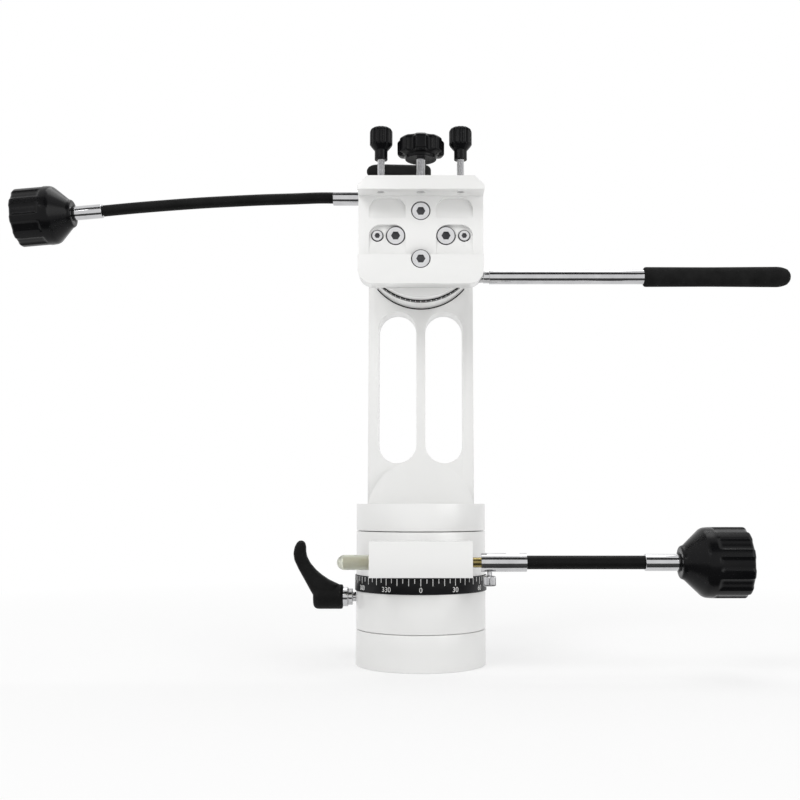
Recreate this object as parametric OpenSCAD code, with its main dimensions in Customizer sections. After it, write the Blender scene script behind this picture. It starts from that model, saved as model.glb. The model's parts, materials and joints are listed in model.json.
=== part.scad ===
/* [Base] */
// Diameter of the turned base and of both drive housings
base_d = 82; // [81:0.5:96]
// Height of the lower base ring
lower_h = 22; // [20:0.5:34]
// Height of the middle base ring, which carries the clamp lever
middle_h = 24; // [24:0.5:34]
// How far the black degree rings stand out beyond the base
ring_over = 0.75; // [0:0.05:1]
// Height of the azimuth degree ring
ring_h = 9.6; // [8:0.2:14]
// Tapped diameter of the tripod thread under the base
tripod_d = 8; // [6:0.5:12]
// Depth of the tripod thread
tripod_depth = 14; // [8:0.5:14]

/* [Worm drives] */
// Tooth module of both worm drives
tooth_module = 0.75; // [0.7:0.01:0.76]
// Teeth on the azimuth worm wheel
azimuth_teeth = 100; // [92:2:100]
// Teeth on the altitude worm wheel
altitude_teeth = 84; // [76:2:88]
// Pitch diameter of both worms
worm_pitch_d = 11; // [10.4:0.1:11.4]
// Turns of thread on each worm
worm_turns = 6; // [4:1:7]
// Face width of both worm wheels
wheel_w = 8; // [6:0.5:9]
// Diameter of the worm shafts
worm_shaft_d = 6; // [5:0.1:6.4]
// Width of the worm blocks across the shaft bushes
block_w = 61; // [54:0.5:66]
// Height of the worm blocks
block_h = 21; // [18:0.5:22]
// Wall between a worm bore and the front of its block
block_wall = 5; // [3:0.25:8]
// Length of each worm shaft bush
worm_bush_l = 8; // [5:0.5:12]

/* [Azimuth head] */
// Height of the azimuth worm housing
housing_h = 27; // [26.5:0.5:34]
// Height of the worm axis above the housing's lower edge
worm_up = 9.4; // [9.2:0.2:11]
// Thickness of the foot plate that carries the arm
foot_h = 16.6; // [16:0.2:24]
// Shadow gap under the foot plate's rim
foot_gap = 0.6; // [0.4:0.1:1.5]
// Diameter of the azimuth spindle
spindle_d = 18; // [14:0.5:20]
// Diameter of the wheel hub that the azimuth lever clamps
clutch_d = 44; // [40:0.5:48]

/* [Arm] */
// Width of the arm
arm_w = 76; // [72:0.5:82]
// Thickness of the arm
arm_t = 22; // [18:0.5:28]
// Distance from the azimuth axis to the arm's front face
arm_y = 76; // [72:0.5:90]
// Width of each lightening slot
slot_w = 27.3; // [18:0.1:29]
// Solid web between the two slots
slot_web = 6.5; // [5:0.25:12]
// Height of the slots' lower ends above the foot plate
slot_low = 29; // [26:0.5:40]
// Length of the slots
slot_l = 110.6; // [60:0.2:112]
// Radius of the half-round foot boss
boss_r = 38; // [30:0.5:38]
// Thickness of the half-round foot boss
boss_t = 6; // [3:0.5:12]

/* [Altitude axis] */
// Height of the altitude axis above the foot plate
axis_up = 182.6; // [178:0.2:200]
// Height of the arm's top above the altitude axis
arm_over = 42.5; // [28:0.5:46]
// Diameter of the altitude shaft
shaft_d = 20; // [16:0.5:22]
// Depth of the altitude worm housing
alt_housing_t = 25; // [24:0.5:30]
// Thickness of the altitude hub behind the saddle
hub_t = 10; // [8:0.5:14]
// Width of the black altitude ring
alt_ring_t = 6.6; // [6.6:0.2:9]

/* [Saddle] */
// Width of the dovetail saddle
saddle_w = 85.5; // [84:0.5:100]
// Height of the saddle
saddle_h = 71.3; // [69:0.1:80]
// Thickness of the saddle plate behind the dovetail floor
plate_t = 10; // [9:0.5:14]
// Height of the saddle's middle above the altitude axis
saddle_up = 1.2; // [0:0.1:2]
// Distance that the upper lip stands in front of the floor
lip_out = 16; // [12:0.5:20]
// Distance that the lower jaw stands in front of the floor
jaw_out = 5; // [3:0.25:7]
// Height of the upper lip
upper_lip_h = 9.3; // [8:0.1:12]
// Height of the lower jaw at its front edge
lower_lip_h = 19.9; // [17:0.1:24]
// Undercut angle of the lower jaw in degrees
jaw_angle = 15; // [5:1:20]
// Corner chamfer at the saddle's top
saddle_chamfer = 6.5; // [3:0.5:10]
// Corner radius at the saddle's foot
saddle_corner = 10; // [4:0.5:14]
// Radius of the circle of the four large saddle screws
big_screw_r = 17.25; // [16:0.25:18.5]
// Distance of the two small saddle screws from the centre
small_screw_x = 29.75; // [29.5:0.25:31]

/* [Clamp knobs] */
// Distance of the two outer clamp screws from the centre
clamp_x = 27; // [26.5:0.25:30]
// Diameter of the outer clamp screws
side_screw_d = 5; // [4:0.1:6]
// Diameter of the middle clamp screw
mid_screw_d = 6; // [5:0.1:8]
// Diameter of the fluted heads of the outer knobs
side_knob_d = 16; // [14:0.25:18]
// Diameter over the lobes of the star knob
star_d = 32; // [28:0.25:33]
// Lobes on the star knob
star_lobes = 7; // [5:1:8]

/* [Levers] */
// Distance from a lever's seat to the end of its hub
lever_hub_l = 28; // [24:0.5:34]
// Diameter of a lever's hub
lever_hub_d = 16; // [14:0.25:18]
// Reach of a lever's tip from its stud axis
lever_reach = 34; // [26:0.5:36]
// Diameter of the lever studs
lever_stud_d = 6; // [5:0.1:8]

/* [Hand controls] */
// Diameter of the flexible shafts
cable_d = 8.1; // [6.5:0.1:9]
// Diameter of the shaft sleeves and ferrules
sleeve_d = 11.1; // [10:0.1:13]
// Length of the shaft sleeves
sleeve_l = 27; // [22:0.5:34]
// Length of the azimuth flexible shaft
az_cable_l = 70.5; // [50:0.5:90]
// Length of the ferrules at the knobs
ferrule_l = 25; // [18:0.5:32]
// Diameter of the cone knobs
knob_d = 42; // [34:0.5:44]
// Length of the cone knobs
knob_l = 40; // [34:0.5:46]
// Flutes round each cone knob
knob_flutes = 10; // [6:1:12]
// Diameter of the handle rod
rod_d = 10; // [8:0.25:11]
// Length of the bare handle rod
rod_l = 106; // [60:1:150]
// Diameter of the handle grip
grip_d = 14; // [12:0.25:20]
// Length of the handle grip
grip_l = 100; // [70:1:130]

/* [Clearances] */
// Radial clearance of shafts in their bores
run_fit = 0.05; // [0.03:0.01:0.08]
// Gap between faces that turn past each other
turn_gap = 0.4; // [0.3:0.05:0.6]
// Clearance of seated pieces
seat_fit = 0.02; // [0.01:0.01:0.05]

/* [Hidden] */
$fn = 64;

// Heights of the stacked base pieces
base_r = base_d / 2;
ring_r = base_r + ring_over;
z_middle = lower_h;
z_ring = z_middle + middle_h;
z_housing = z_ring + ring_h + turn_gap;
z_head = z_housing + housing_h;
z_foot = z_head + foot_gap;
z_arm = z_foot + foot_h;
z_axis = z_arm + axis_up;
z_arm_top = z_axis + arm_over;

// Worm gearing: trapezoid threads and teeth with room on both flanks
lead = PI * tooth_module;
addendum = tooth_module;
dedendum = 1.25 * tooth_module;
flank = tan(20);
tooth_share = 0.34;
thread_share = 0.36;
worm_r = worm_pitch_d / 2;
worm_tip_r = worm_r + addendum;
worm_root_r = worm_r - dedendum;
worm_shaft_r = worm_shaft_d / 2;
worm_bore_r = worm_tip_r + turn_gap;
az_pitch_r = tooth_module * azimuth_teeth / 2;
alt_pitch_r = tooth_module * altitude_teeth / 2;
az_worm_y = -(az_pitch_r + worm_r);
z_az_worm = z_housing + worm_up;
block_x = block_w / 2;
block_low = worm_up - 1;
worm_free_end = 5.5;
worm_grip = 10;
worm_tail = 15.5;
cap_wall = 1;
cap_l = worm_tail + 4;
knob_seat = 4;
worm_steps = 24;

// Inside of the base and the azimuth head
spindle_r = spindle_d / 2;
clutch_r = clutch_d / 2;
clutch_bore_r = clutch_r + turn_gap;
spindle_flange_r = clutch_r - 1;
spindle_flange_t = 6;
spindle_spigot = 8;
washer_t = 1;
z_flange = z_middle + spindle_flange_t;
z_clutch = z_flange + washer_t;
wheel_cavity_r = az_pitch_r + addendum + turn_gap;
housing_roof = 9;
z_roof = z_head - housing_roof;
ring_wall = 7.75;
ring_seat_r = ring_r - ring_wall;
base_screw_r = 31;
base_screw_d = 5;
base_screw_sink = 1;
base_screw_bite = 8;
nut_t = 7;
nut_r = 13;
recess_r = nut_r + 2;
cap_t = 3;
foot_floor = foot_h - cap_t - nut_t - 1 - turn_gap;
foot_screw_r = 24;
foot_screw_d = 5;
foot_screw_sink = 3;
foot_screw_l = z_arm - foot_screw_sink - head_h(foot_screw_d) - z_roof - 2;
arm_screw_d = 6;
arm_screw_sink = 1;
arm_screw_l = foot_h + 8;
arm_screw_x = [-28, -10, 10, 28];

// Depths along the altitude axis
floor_y = arm_y - alt_housing_t - turn_gap - alt_ring_t - hub_t - plate_t;
lip_y = floor_y - lip_out;
jaw_y = floor_y - jaw_out;
y_hub = floor_y + plate_t;
y_alt_ring = y_hub + hub_t;
y_alt_housing = arm_y - alt_housing_t;
y_arm_back = arm_y + arm_t;
shaft_r = shaft_d / 2;
alt_worm_y = y_alt_housing + worm_bore_r + 2.25;
alt_worm_z = z_axis + alt_pitch_r + worm_r;
alt_cavity_r = alt_pitch_r + addendum + turn_gap;
y_wheel_back = alt_worm_y + wheel_w / 2;
shaft_flange_r = 26;
shaft_flange_t = alt_ring_t - 0.6;
y_clutch = y_alt_ring + shaft_flange_t;
clutch_disc_t = 1.2;
clutch_disc_r = 22;
bush_wall = 3;
rear_washer_t = 2;
shaft_nut_r = 15;
rear_cap_wall = 2.5;
housing_screw_d = 5;
housing_screw_r = 28;
housing_screw_l = arm_t - head_h(housing_screw_d) + 8;
y_nut = y_arm_back + turn_gap + rear_washer_t;
shaft_nut_t = 8;
y_shaft_end = y_nut + shaft_nut_t + 1;

// Saddle clamp positions
clamp_y = floor_y - 8;
z_saddle = z_axis + saddle_up;
z_saddle_top = z_saddle + saddle_h / 2;
z_lip = z_saddle_top - upper_lip_h;
side_knob_up = 13.1;
star_knob_up = 13.25;
handle_y = floor_y + plate_t / 2;
handle_drop = 28;
handle_z = z_axis - handle_drop;
neck_l = 4;
socket_depth = 10;
rod_x = saddle_w / 2 + neck_l;
grip_x = rod_x + rod_l;
grip_over = 20;
clamp_screw_x = [-clamp_x, 0, clamp_x];
clamp_screw_d = [side_screw_d, mid_screw_d, side_screw_d];
pocket_w = 25;
pocket_x = 23;
pocket_deep = 3;
upper_pocket_l = 14;
upper_pocket_drop = 1.5;
lower_pocket_l = 20;
lower_pocket_up = 7;
big_screw_d = 8;
big_screw_sink = 1;
big_screw_over = 6;
small_screw_d = 5;
small_screw_l = plate_t - big_screw_sink - head_h(small_screw_d) + hub_t - 2;

// Faces that the right, top, left and bottom large screws are sunk in
big_screw_y = [floor_y, floor_y, floor_y, jaw_y];

// Levers on the base and on the arm
lever_up = 19.5;
z_lever = z_middle + lever_up;
lever_rise = 37;
lever_hub_low = 8.5;
stud_bite = 9.5;
stud_washer_low = 2.2;
stud_washer_r = lever_stud_d / 2 + 2.2;
collar_low = 5;
collar_r = lever_stud_d / 2 + 3.1;
lever_y = arm_y + arm_t / 2;
pad_d = 5.6;
pad_l = 5;

// Pieces along the azimuth worm's axis
az_sleeve_x = block_x + worm_free_end;
az_cable_x = az_sleeve_x + sleeve_l;
az_ferrule_x = az_cable_x + az_cable_l;
az_knob_x = az_ferrule_x + ferrule_l - knob_seat;
thumb_stud_d = 3;
thumb_head_d = 7.5;
thumb_gap = 2;
thumb_head_h = 6.5;

// Route of the altitude flexible shaft from its sleeve to its ferrule
alt_sleeve_x = -(block_x + worm_free_end);
alt_cable_drop = [
    [0, 0], [-11, 0], [-29, -0.7], [-51, -1.4], [-74, -2.5],
    [-97, -3.8], [-120, -5.5], [-143, -7.4], [-165.5, -9.6]
];
alt_cable_points = [
    for (d = alt_cable_drop)
        [alt_sleeve_x - sleeve_l + d[0], alt_worm_y, alt_worm_z + d[1]]
];
cable_end = alt_cable_points[len(alt_cable_points) - 1];
cable_tilt = -5;

// Sizes of a socket head screw, as shares of its thread diameter
function head_r(d) = 0.8 * d;
function head_h(d) = 0.65 * d;
function socket_r(d) = 0.46 * d;

// A cylinder along X, from x0 to x1
module along_x(x0, x1, r) {
    translate([x0, 0, 0])
        rotate([0, 90, 0])
            cylinder(h = x1 - x0, r = r);
}

// A cylinder along Y, from y0 to y1
module along_y(y0, y1, r) {
    translate([0, y0, 0])
        rotate([-90, 0, 0])
            cylinder(h = y1 - y0, r = r);
}

// A cylinder along Z, from z0 to z1
module along_z(z0, z1, r) {
    translate([0, 0, z0])
        cylinder(h = z1 - z0, r = r);
}

// Copies on a circle about Z
module around(count, r, start) {
    for (i = [0:count - 1])
        rotate([0, 0, start + i * 360 / count])
            translate([r, 0, 0])
                children();
}

// A socket head screw along -Z, with its head's top at the origin
module cap_screw(d, length) {
    difference() {
        union() {
            along_z(-head_h(d), 0, head_r(d));
            along_z(-head_h(d) - length, -head_h(d) + seat_fit, d / 2);
        }
        translate([0, 0, -0.4 * d])
            cylinder(h = d, r = socket_r(d), $fn = 6);
    }
}

// The counterbored hole for a cap_screw
module screw_hole(d, length, over) {
    along_z(-head_h(d) - seat_fit, over, head_r(d) + 0.3);
    along_z(-head_h(d) - length - 1, 0, d / 2 + seat_fit);
}

// Outline of a worm wheel with a gap centred on the +X direction
module wheel_outline(teeth) {
    pitch_r = tooth_module * teeth / 2;
    step = 360 / teeth;
    half = tooth_share * lead / 2;
    root_r = pitch_r - dedendum;
    tip_r = pitch_r + addendum;
    root_a = (half + dedendum * flank) / root_r * 180 / PI;
    tip_a = (half - addendum * flank) / tip_r * 180 / PI;
    corners = [[root_r, -root_a], [tip_r, -tip_a], [tip_r, tip_a], [root_r, root_a]];
    polygon([
        for (i = [0:teeth - 1], c = corners)
            c[0] * [cos((i + 0.5) * step + c[1]), sin((i + 0.5) * step + c[1])]
    ]);
}

// Points across one thread: distance along the axis and radius
half_thread = thread_share * lead / 2;
thread_profile = [
    [-half_thread - dedendum * flank, worm_root_r],
    [-half_thread + addendum * flank, worm_tip_r],
    [half_thread - addendum * flank, worm_tip_r],
    [half_thread + dedendum * flank, worm_root_r]
];

// Triangles from one corner to each edge of a chain of points
function fan(corner, chain) = [for (i = [0:len(chain) - 2]) [corner, chain[i], chain[i + 1]]];

// A face with its corners in the opposite order
function reversed(f) = [for (i = [len(f) - 1:-1:0]) f[i]];

// One right-hand thread round X, with a crest at x = 0 facing +Y
module worm_thread() {
    sides = worm_steps;
    rows = worm_turns * sides;
    start = -worm_turns / 2;
    collar = block_x - worm_bush_l - run_fit;
    width = len(thread_profile);
    strip = [
        for (i = [0:rows], p = thread_profile)
            let (a = 360 * i / sides)
            [p[0] + lead * (start + i / sides), p[1] * cos(a), p[1] * sin(a)]
    ];
    near = [for (i = [0:sides - 1]) let (a = 360 * i / sides)
        [-collar, worm_root_r * cos(a), worm_root_r * sin(a)]];
    far = [for (i = [0:sides - 1]) let (a = 360 * i / sides)
        [collar, worm_root_r * cos(a), worm_root_r * sin(a)]];
    first_near = len(strip);
    first_far = first_near + sides;
    function at(i, j) = i * width + j;
    flanks = [for (i = [0:rows - 1], j = [0:width - 2], k = [0, 1])
        k == 0 ? [at(i, j), at(i + 1, j), at(i + 1, j + 1)]
               : [at(i, j), at(i + 1, j + 1), at(i, j + 1)]];
    roots = [for (i = [0:rows - sides - 1], k = [0, 1])
        k == 0 ? [at(i, width - 1), at(i + 1, width - 1), at(i + sides + 1, 0)]
               : [at(i, width - 1), at(i + sides + 1, 0), at(i + sides, 0)]];
    near_side = concat(
        [for (i = [0:sides - 2], k = [0, 1])
            k == 0 ? [first_near + i, first_near + i + 1, at(i + 1, 0)]
                   : [first_near + i, at(i + 1, 0), at(i, 0)]],
        fan(first_near + sides - 1,
            [first_near, at(0, 0), at(0, width - 1), at(sides, 0), at(sides - 1, 0)]),
        fan(at(0, 0), [for (j = [1:width - 1]) at(0, j)])
    );
    last = rows - sides;
    far_side = concat(
        [for (i = [1:sides - 1], k = [0, 1])
            k == 0 ? [at(last + i, width - 1), at(last + i + 1, width - 1), first_far + (i + 1) % sides]
                   : [at(last + i, width - 1), first_far + (i + 1) % sides, first_far + i]],
        fan(first_far + 1,
            [first_far, at(rows, width - 1), at(rows, 0), at(last, width - 1), at(last + 1, width - 1)]),
        fan(at(rows, width - 1), [for (j = [width - 2:-1:0]) at(rows, j)])
    );
    caps = [
        [for (i = [sides - 1:-1:0]) first_near + i],
        [for (i = [0:sides - 1]) first_far + i]
    ];
    polyhedron(
        points = concat(strip, near, far),
        faces = [for (f = concat(flanks, roots, near_side, far_side, caps)) reversed(f)],
        convexity = 8
    );
}

// A worm with its shaft from x0 to x1
module worm(x0, x1) {
    worm_thread();
    along_x(x0, x1, worm_shaft_r);
}

// A sleeve or ferrule round a shaft end, with a flat and a grip step
module sleeve(length, bore_r, bore_l) {
    difference() {
        union() {
            along_x(0, length, sleeve_d / 2);
        }
        along_x(-1, bore_l, bore_r);
        translate([length * 0.55, -sleeve_d / 2, sleeve_d / 2 - 1])
            cube([length * 0.3, sleeve_d, 2]);
    }
}

// A cone knob along X with its narrow end at x = 0
module cone_knob(bore_r) {
    cone_l = knob_l * 0.3;
    shoulder_l = knob_l * 0.46;
    neck_r = sleeve_d / 2 + 2.5;
    rim = 2;
    difference() {
        rotate([0, 90, 0])
            rotate_extrude()
                polygon([
                    [0, 0], [neck_r, 0], [neck_r + 1.5, 1.5], [knob_d / 2 - rim, cone_l],
                    [knob_d / 2, cone_l + rim], [knob_d / 2, knob_l - rim],
                    [knob_d / 2 - rim, knob_l], [0, knob_l]
                ]);
        along_x(-1, knob_seat, bore_r);
        for (i = [0:knob_flutes - 1])
            rotate([i * 360 / knob_flutes, 0, 0])
                translate([shoulder_l, 0, knob_d / 2 + 4.2])
                    along_x(0, knob_l, 6);
    }
}

// A clamping lever's black hub and arm, along +Z from its seat, arm towards +X
module lever_body() {
    hub_r = lever_hub_d / 2;
    difference() {
        union() {
            along_z(lever_hub_low, lever_hub_l - hub_r * 0.6, hub_r);
            hull() {
                translate([0, 0, lever_hub_l - hub_r])
                    sphere(r = hub_r, $fn = 32);
                translate([lever_reach * 0.45, 0, lever_hub_l + 2])
                    sphere(r = hub_r * 0.86, $fn = 32);
            }
            hull() {
                translate([lever_reach * 0.45, 0, lever_hub_l + 2])
                    sphere(r = hub_r * 0.86, $fn = 32);
                translate([lever_reach * 0.74, 0, lever_rise])
                    sphere(r = hub_r * 0.78, $fn = 32);
            }
            hull() {
                translate([lever_reach * 0.74, 0, lever_rise])
                    sphere(r = hub_r * 0.78, $fn = 32);
                translate([lever_reach, 0, lever_rise + 1])
                    sphere(r = hub_r * 0.7, $fn = 32);
            }
        }
        along_z(lever_hub_low - 1, lever_hub_low + stud_bite + turn_gap, lever_stud_d / 2 + seat_fit);
    }
}

// A lever's threaded stud with its washer and collar, along +Z from its seat
module lever_stud(inside) {
    along_z(-inside, lever_hub_low + stud_bite, lever_stud_d / 2);
    along_z(stud_washer_low, collar_low, stud_washer_r);
    along_z(collar_low, lever_hub_low - seat_fit, collar_r);
}

// A fluted clamp knob along +Z with its neck at the bottom
module side_knob() {
    neck_r = side_knob_d * 0.29;
    neck_h = 7;
    cone_h = 4;
    head_h = 11;
    difference() {
        union() {
            along_z(0, neck_h + cone_h, neck_r);
            translate([0, 0, neck_h])
                cylinder(h = cone_h, r1 = neck_r, r2 = side_knob_d / 2);
            along_z(neck_h + cone_h, neck_h + cone_h + head_h, side_knob_d / 2);
        }
        along_z(-1, neck_h + cone_h, side_screw_d / 2 + seat_fit);
        for (i = [0:11])
            rotate([0, 0, i * 30])
                translate([side_knob_d / 2 + 0.5, 0, neck_h + cone_h - 1])
                    cylinder(h = head_h, r = 1.3);
    }
}

// A lobed star knob along +Z with its hub at the bottom
module star_knob() {
    hub_h = 3;
    rim_h = 13;
    bore_l = 13;
    lobe_r = star_d * 0.14;
    difference() {
        union() {
            along_z(0, hub_h, star_d * 0.34);
            translate([0, 0, hub_h])
                linear_extrude(rim_h) {
                    circle(r = star_d / 2 - lobe_r);
                    around(star_lobes, star_d / 2 - lobe_r, 90)
                        circle(r = lobe_r);
                }
        }
        along_z(-1, bore_l, mid_screw_d / 2 + seat_fit);
    }
}

module lower_ring() {
    color("white")
        difference() {
            along_z(0, z_middle, base_r);
            along_z(-1, tripod_depth, tripod_d / 2);
            along_z(z_middle - spindle_spigot, z_middle + 1, spindle_r + seat_fit);
            around(3, base_screw_r, 90)
                translate([0, 0, base_screw_sink])
                    mirror([0, 0, 1])
                        screw_hole(base_screw_d, lower_h, base_screw_sink + 1);
        }
}

module middle_ring() {
    color("white")
        difference() {
            union() {
                along_z(z_middle, z_ring, base_r);
                along_z(z_ring, z_ring + ring_h - turn_gap, ring_seat_r);
            }
            along_z(z_middle - 1, z_housing, clutch_bore_r);
            translate([0, 0, z_lever])
                along_x(-base_r - 1, 0, lever_stud_d / 2 + run_fit);
            around(3, base_screw_r, 90)
                along_z(z_middle - 1, z_middle + base_screw_bite, base_screw_d / 2 + seat_fit);
        }
}

module degree_ring() {
    color("black")
        difference() {
            along_z(z_ring, z_ring + ring_h, ring_r);
            along_z(z_ring - 1, z_ring + ring_h + 1, ring_seat_r + seat_fit);
        }
}

module azimuth_spindle() {
    color("silver") {
        along_z(z_middle - spindle_spigot + 1, z_foot + foot_floor + turn_gap + nut_t + 0.3, spindle_r);
        along_z(z_middle, z_flange, spindle_flange_r);
    }
}

module azimuth_wheel() {
    color("darkgoldenrod")
        difference() {
            union() {
                along_z(z_clutch, z_roof - washer_t - seat_fit, clutch_r);
                translate([0, 0, z_az_worm - wheel_w / 2])
                    linear_extrude(wheel_w)
                        rotate([0, 0, -90])
                            wheel_outline(azimuth_teeth);
            }
            along_z(z_clutch - 1, z_roof, spindle_r + run_fit);
        }
}

module azimuth_clamp_pad() {
    color("goldenrod")
        translate([0, 0, z_lever])
            along_x(-clutch_r - pad_l - turn_gap, -clutch_r - turn_gap, pad_d / 2);
}

module base_screws() {
    color("dimgray")
        around(3, base_screw_r, 90)
            translate([0, 0, base_screw_sink])
                mirror([0, 0, 1])
                    cap_screw(base_screw_d, lower_h);
}

module lower_thrust_washer() {
    color("ivory")
        difference() {
            along_z(z_flange, z_clutch, spindle_flange_r);
            along_z(z_flange - 1, z_clutch + 1, spindle_r + run_fit);
        }
}

module upper_thrust_washer() {
    color("ivory")
        difference() {
            along_z(z_roof - washer_t, z_roof, clutch_r - 1);
            along_z(z_roof - washer_t - 1, z_roof + 1, spindle_r + run_fit);
        }
}

module spindle_nut() {
    color("dimgray")
        difference() {
            translate([0, 0, z_foot + foot_floor + turn_gap])
                cylinder(h = nut_t, r = nut_r, $fn = 6);
            along_z(z_foot, z_arm, spindle_r + seat_fit);
        }
}

// Places a lever piece on the left of the base, with its arm upwards
module at_base_lever() {
    translate([-base_r, 0, z_lever])
        rotate([0, -90, 0])
            children();
}

module azimuth_lever() {
    color("black")
        at_base_lever()
            lever_body();
}

module azimuth_lever_stud() {
    color("silver")
        at_base_lever()
            lever_stud(base_r - clutch_r - turn_gap - pad_l - seat_fit);
}

// Places pieces on the azimuth worm's axis
module at_azimuth_worm() {
    translate([0, az_worm_y, z_az_worm])
        children();
}

// Places pieces on the altitude worm's axis, with the thread's crest facing down
module at_altitude_worm() {
    translate([0, alt_worm_y, alt_worm_z])
        rotate([-90, 0, 0])
            children();
}

// Places pieces on the altitude axis
module at_axis() {
    translate([0, 0, z_axis])
        children();
}

// The two bushes that carry a worm shaft
module worm_bushes() {
    for (side = [-1, 1])
        scale([side, 1, 1])
            difference() {
                along_x(block_x - worm_bush_l, block_x, worm_bore_r - seat_fit);
                along_x(block_x - worm_bush_l - 1, block_x + 1, worm_shaft_r + run_fit);
            }
}

// Positions of the screws that hold the foot plate on the housing
module at_foot_screws() {
    translate([0, 0, z_arm - foot_screw_sink])
        around(4, foot_screw_r, 45)
            children();
}

// Positions of the screws that hold the arm on the foot plate
module at_arm_screws() {
    for (x = arm_screw_x)
        translate([x, lever_y, z_foot + arm_screw_sink])
            mirror([0, 0, 1])
                children();
}

// Positions of the screws that hold the altitude housing on the arm
module at_housing_screws() {
    translate([0, y_arm_back, z_axis])
        rotate([-90, 0, 0])
            around(4, housing_screw_r, 45)
                children();
}

module azimuth_housing() {
    color("white")
        difference() {
            union() {
                along_z(z_housing, z_head, base_r);
                translate([-block_x, az_worm_y - worm_bore_r - block_wall, z_az_worm - block_low])
                    cube([block_w, worm_bore_r + block_wall + 12, block_h]);
            }
            along_z(z_housing - 1, z_roof, wheel_cavity_r);
            along_z(z_roof - 1, z_head + 1, spindle_r + run_fit);
            at_azimuth_worm()
                along_x(-block_x - 1, block_x + 1, worm_bore_r);
            at_foot_screws()
                screw_hole(foot_screw_d, foot_screw_l, 1);
        }
}

module azimuth_worm_bushes() {
    color("goldenrod")
        at_azimuth_worm()
            worm_bushes();
}

module azimuth_worm_cap() {
    cap_r = worm_shaft_r + turn_gap + cap_wall;
    color("ivory")
        at_azimuth_worm()
            difference() {
                union() {
                    along_x(-block_x - cap_l + cap_r, -block_x, cap_r);
                    translate([-block_x - cap_l + cap_r, 0, 0])
                        sphere(r = cap_r);
                }
                along_x(-block_x - worm_tail - turn_gap, -block_x + 1, worm_shaft_r + turn_gap);
            }
}

module foot_plate() {
    color("white")
        difference() {
            union() {
                along_z(z_foot, z_arm, base_r);
                along_z(z_head, z_foot + 1, base_r - 5);
                translate([-arm_w / 2, 0, z_foot])
                    cube([arm_w, y_arm_back, foot_h]);
            }
            along_z(z_foot + foot_floor, z_arm + 1, recess_r);
            along_z(z_head - 1, z_arm, spindle_r + run_fit);
            at_foot_screws()
                screw_hole(foot_screw_d, foot_screw_l, foot_screw_sink + 1);
            at_arm_screws()
                screw_hole(arm_screw_d, arm_screw_l, arm_screw_sink + 1);
        }
}

module foot_screws() {
    color("dimgray")
        at_foot_screws()
            cap_screw(foot_screw_d, foot_screw_l);
}

module spindle_cap() {
    color("black")
        along_z(z_arm - cap_t, z_arm, recess_r - seat_fit);
}

// Outline of the arm, seen from the front, with round top corners
module arm_outline() {
    corner = 12;
    half = arm_w / 2;
    translate([-half, z_arm])
        square([arm_w, z_arm_top - corner - z_arm]);
    translate([-half + corner, z_arm])
        square([arm_w - 2 * corner, z_arm_top - z_arm]);
    for (side = [-1, 1])
        translate([side * (half - corner), z_arm_top - corner])
            circle(r = corner);
}

// Outline of one lightening slot
module slot_outline() {
    round_r = slot_w / 2;
    low = z_arm + slot_low + round_r;
    high = z_arm + slot_low + slot_l - round_r;
    translate([-round_r, low])
        square([slot_w, high - low]);
    for (z = [low, high])
        translate([0, z])
            circle(r = round_r);
}

module arm() {
    boss_z = z_arm - 7;
    color("white")
        difference() {
            union() {
                translate([0, y_arm_back, 0])
                    rotate([90, 0, 0])
                        linear_extrude(arm_t)
                            difference() {
                                arm_outline();
                                for (side = [-1, 1])
                                    translate([side * (slot_w + slot_web) / 2, 0])
                                        slot_outline();
                            }
                intersection() {
                    translate([0, 0, boss_z])
                        along_y(arm_y - boss_t, arm_y + boss_t, boss_r);
                    translate([-boss_r, arm_y - boss_t, z_arm])
                        cube([2 * boss_r, boss_t + seat_fit, boss_r]);
                }
            }
            at_axis()
                along_y(arm_y - 1, y_arm_back + 1, shaft_r + bush_wall + seat_fit);
            translate([0, lever_y, 0])
                along_z(z_axis, z_arm_top + 1, lever_stud_d / 2 + run_fit);
            at_arm_screws()
                screw_hole(arm_screw_d, arm_screw_l, 0);
            at_housing_screws()
                screw_hole(housing_screw_d, housing_screw_l, 1);
        }
}

module arm_screws() {
    color("dimgray")
        at_arm_screws()
            cap_screw(arm_screw_d, arm_screw_l);
}

module altitude_housing() {
    color("white")
        difference() {
            union() {
                at_axis()
                    along_y(y_alt_housing, arm_y, base_r);
                translate([-block_x, y_alt_housing, z_axis])
                    cube([block_w, 2 * worm_bore_r + 5, alt_worm_z - z_axis + worm_bore_r + 3]);
            }
            at_axis() {
                along_y(y_alt_housing - 1, y_wheel_back + washer_t, alt_cavity_r);
                along_y(y_alt_housing, arm_y + 1, shaft_r + turn_gap);
            }
            at_altitude_worm()
                along_x(-block_x - 1, block_x + 1, worm_bore_r);
            at_housing_screws()
                screw_hole(housing_screw_d, housing_screw_l, 0);
        }
}

module housing_screws() {
    color("dimgray")
        at_housing_screws()
            cap_screw(housing_screw_d, housing_screw_l);
}

module altitude_bush() {
    color("goldenrod")
        difference() {
            at_axis()
                along_y(arm_y, y_arm_back, shaft_r + bush_wall);
            at_axis()
                along_y(arm_y - 1, y_arm_back + 1, shaft_r + run_fit);
            translate([0, lever_y, 0])
                along_z(z_axis, z_arm_top, pad_d / 2 + run_fit);
        }
}

module altitude_worm_bushes() {
    color("goldenrod")
        at_altitude_worm()
            worm_bushes();
}

module altitude_clamp_pad() {
    low = z_axis + shaft_r + turn_gap;
    color("goldenrod")
        translate([0, lever_y, 0])
            along_z(low, low + pad_l, pad_d / 2);
}

module altitude_thrust_washer() {
    color("ivory")
        at_axis()
            difference() {
                along_y(y_wheel_back + seat_fit, y_wheel_back + washer_t, clutch_disc_r);
                along_y(y_wheel_back - 1, arm_y, shaft_r + run_fit);
            }
}

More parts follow.
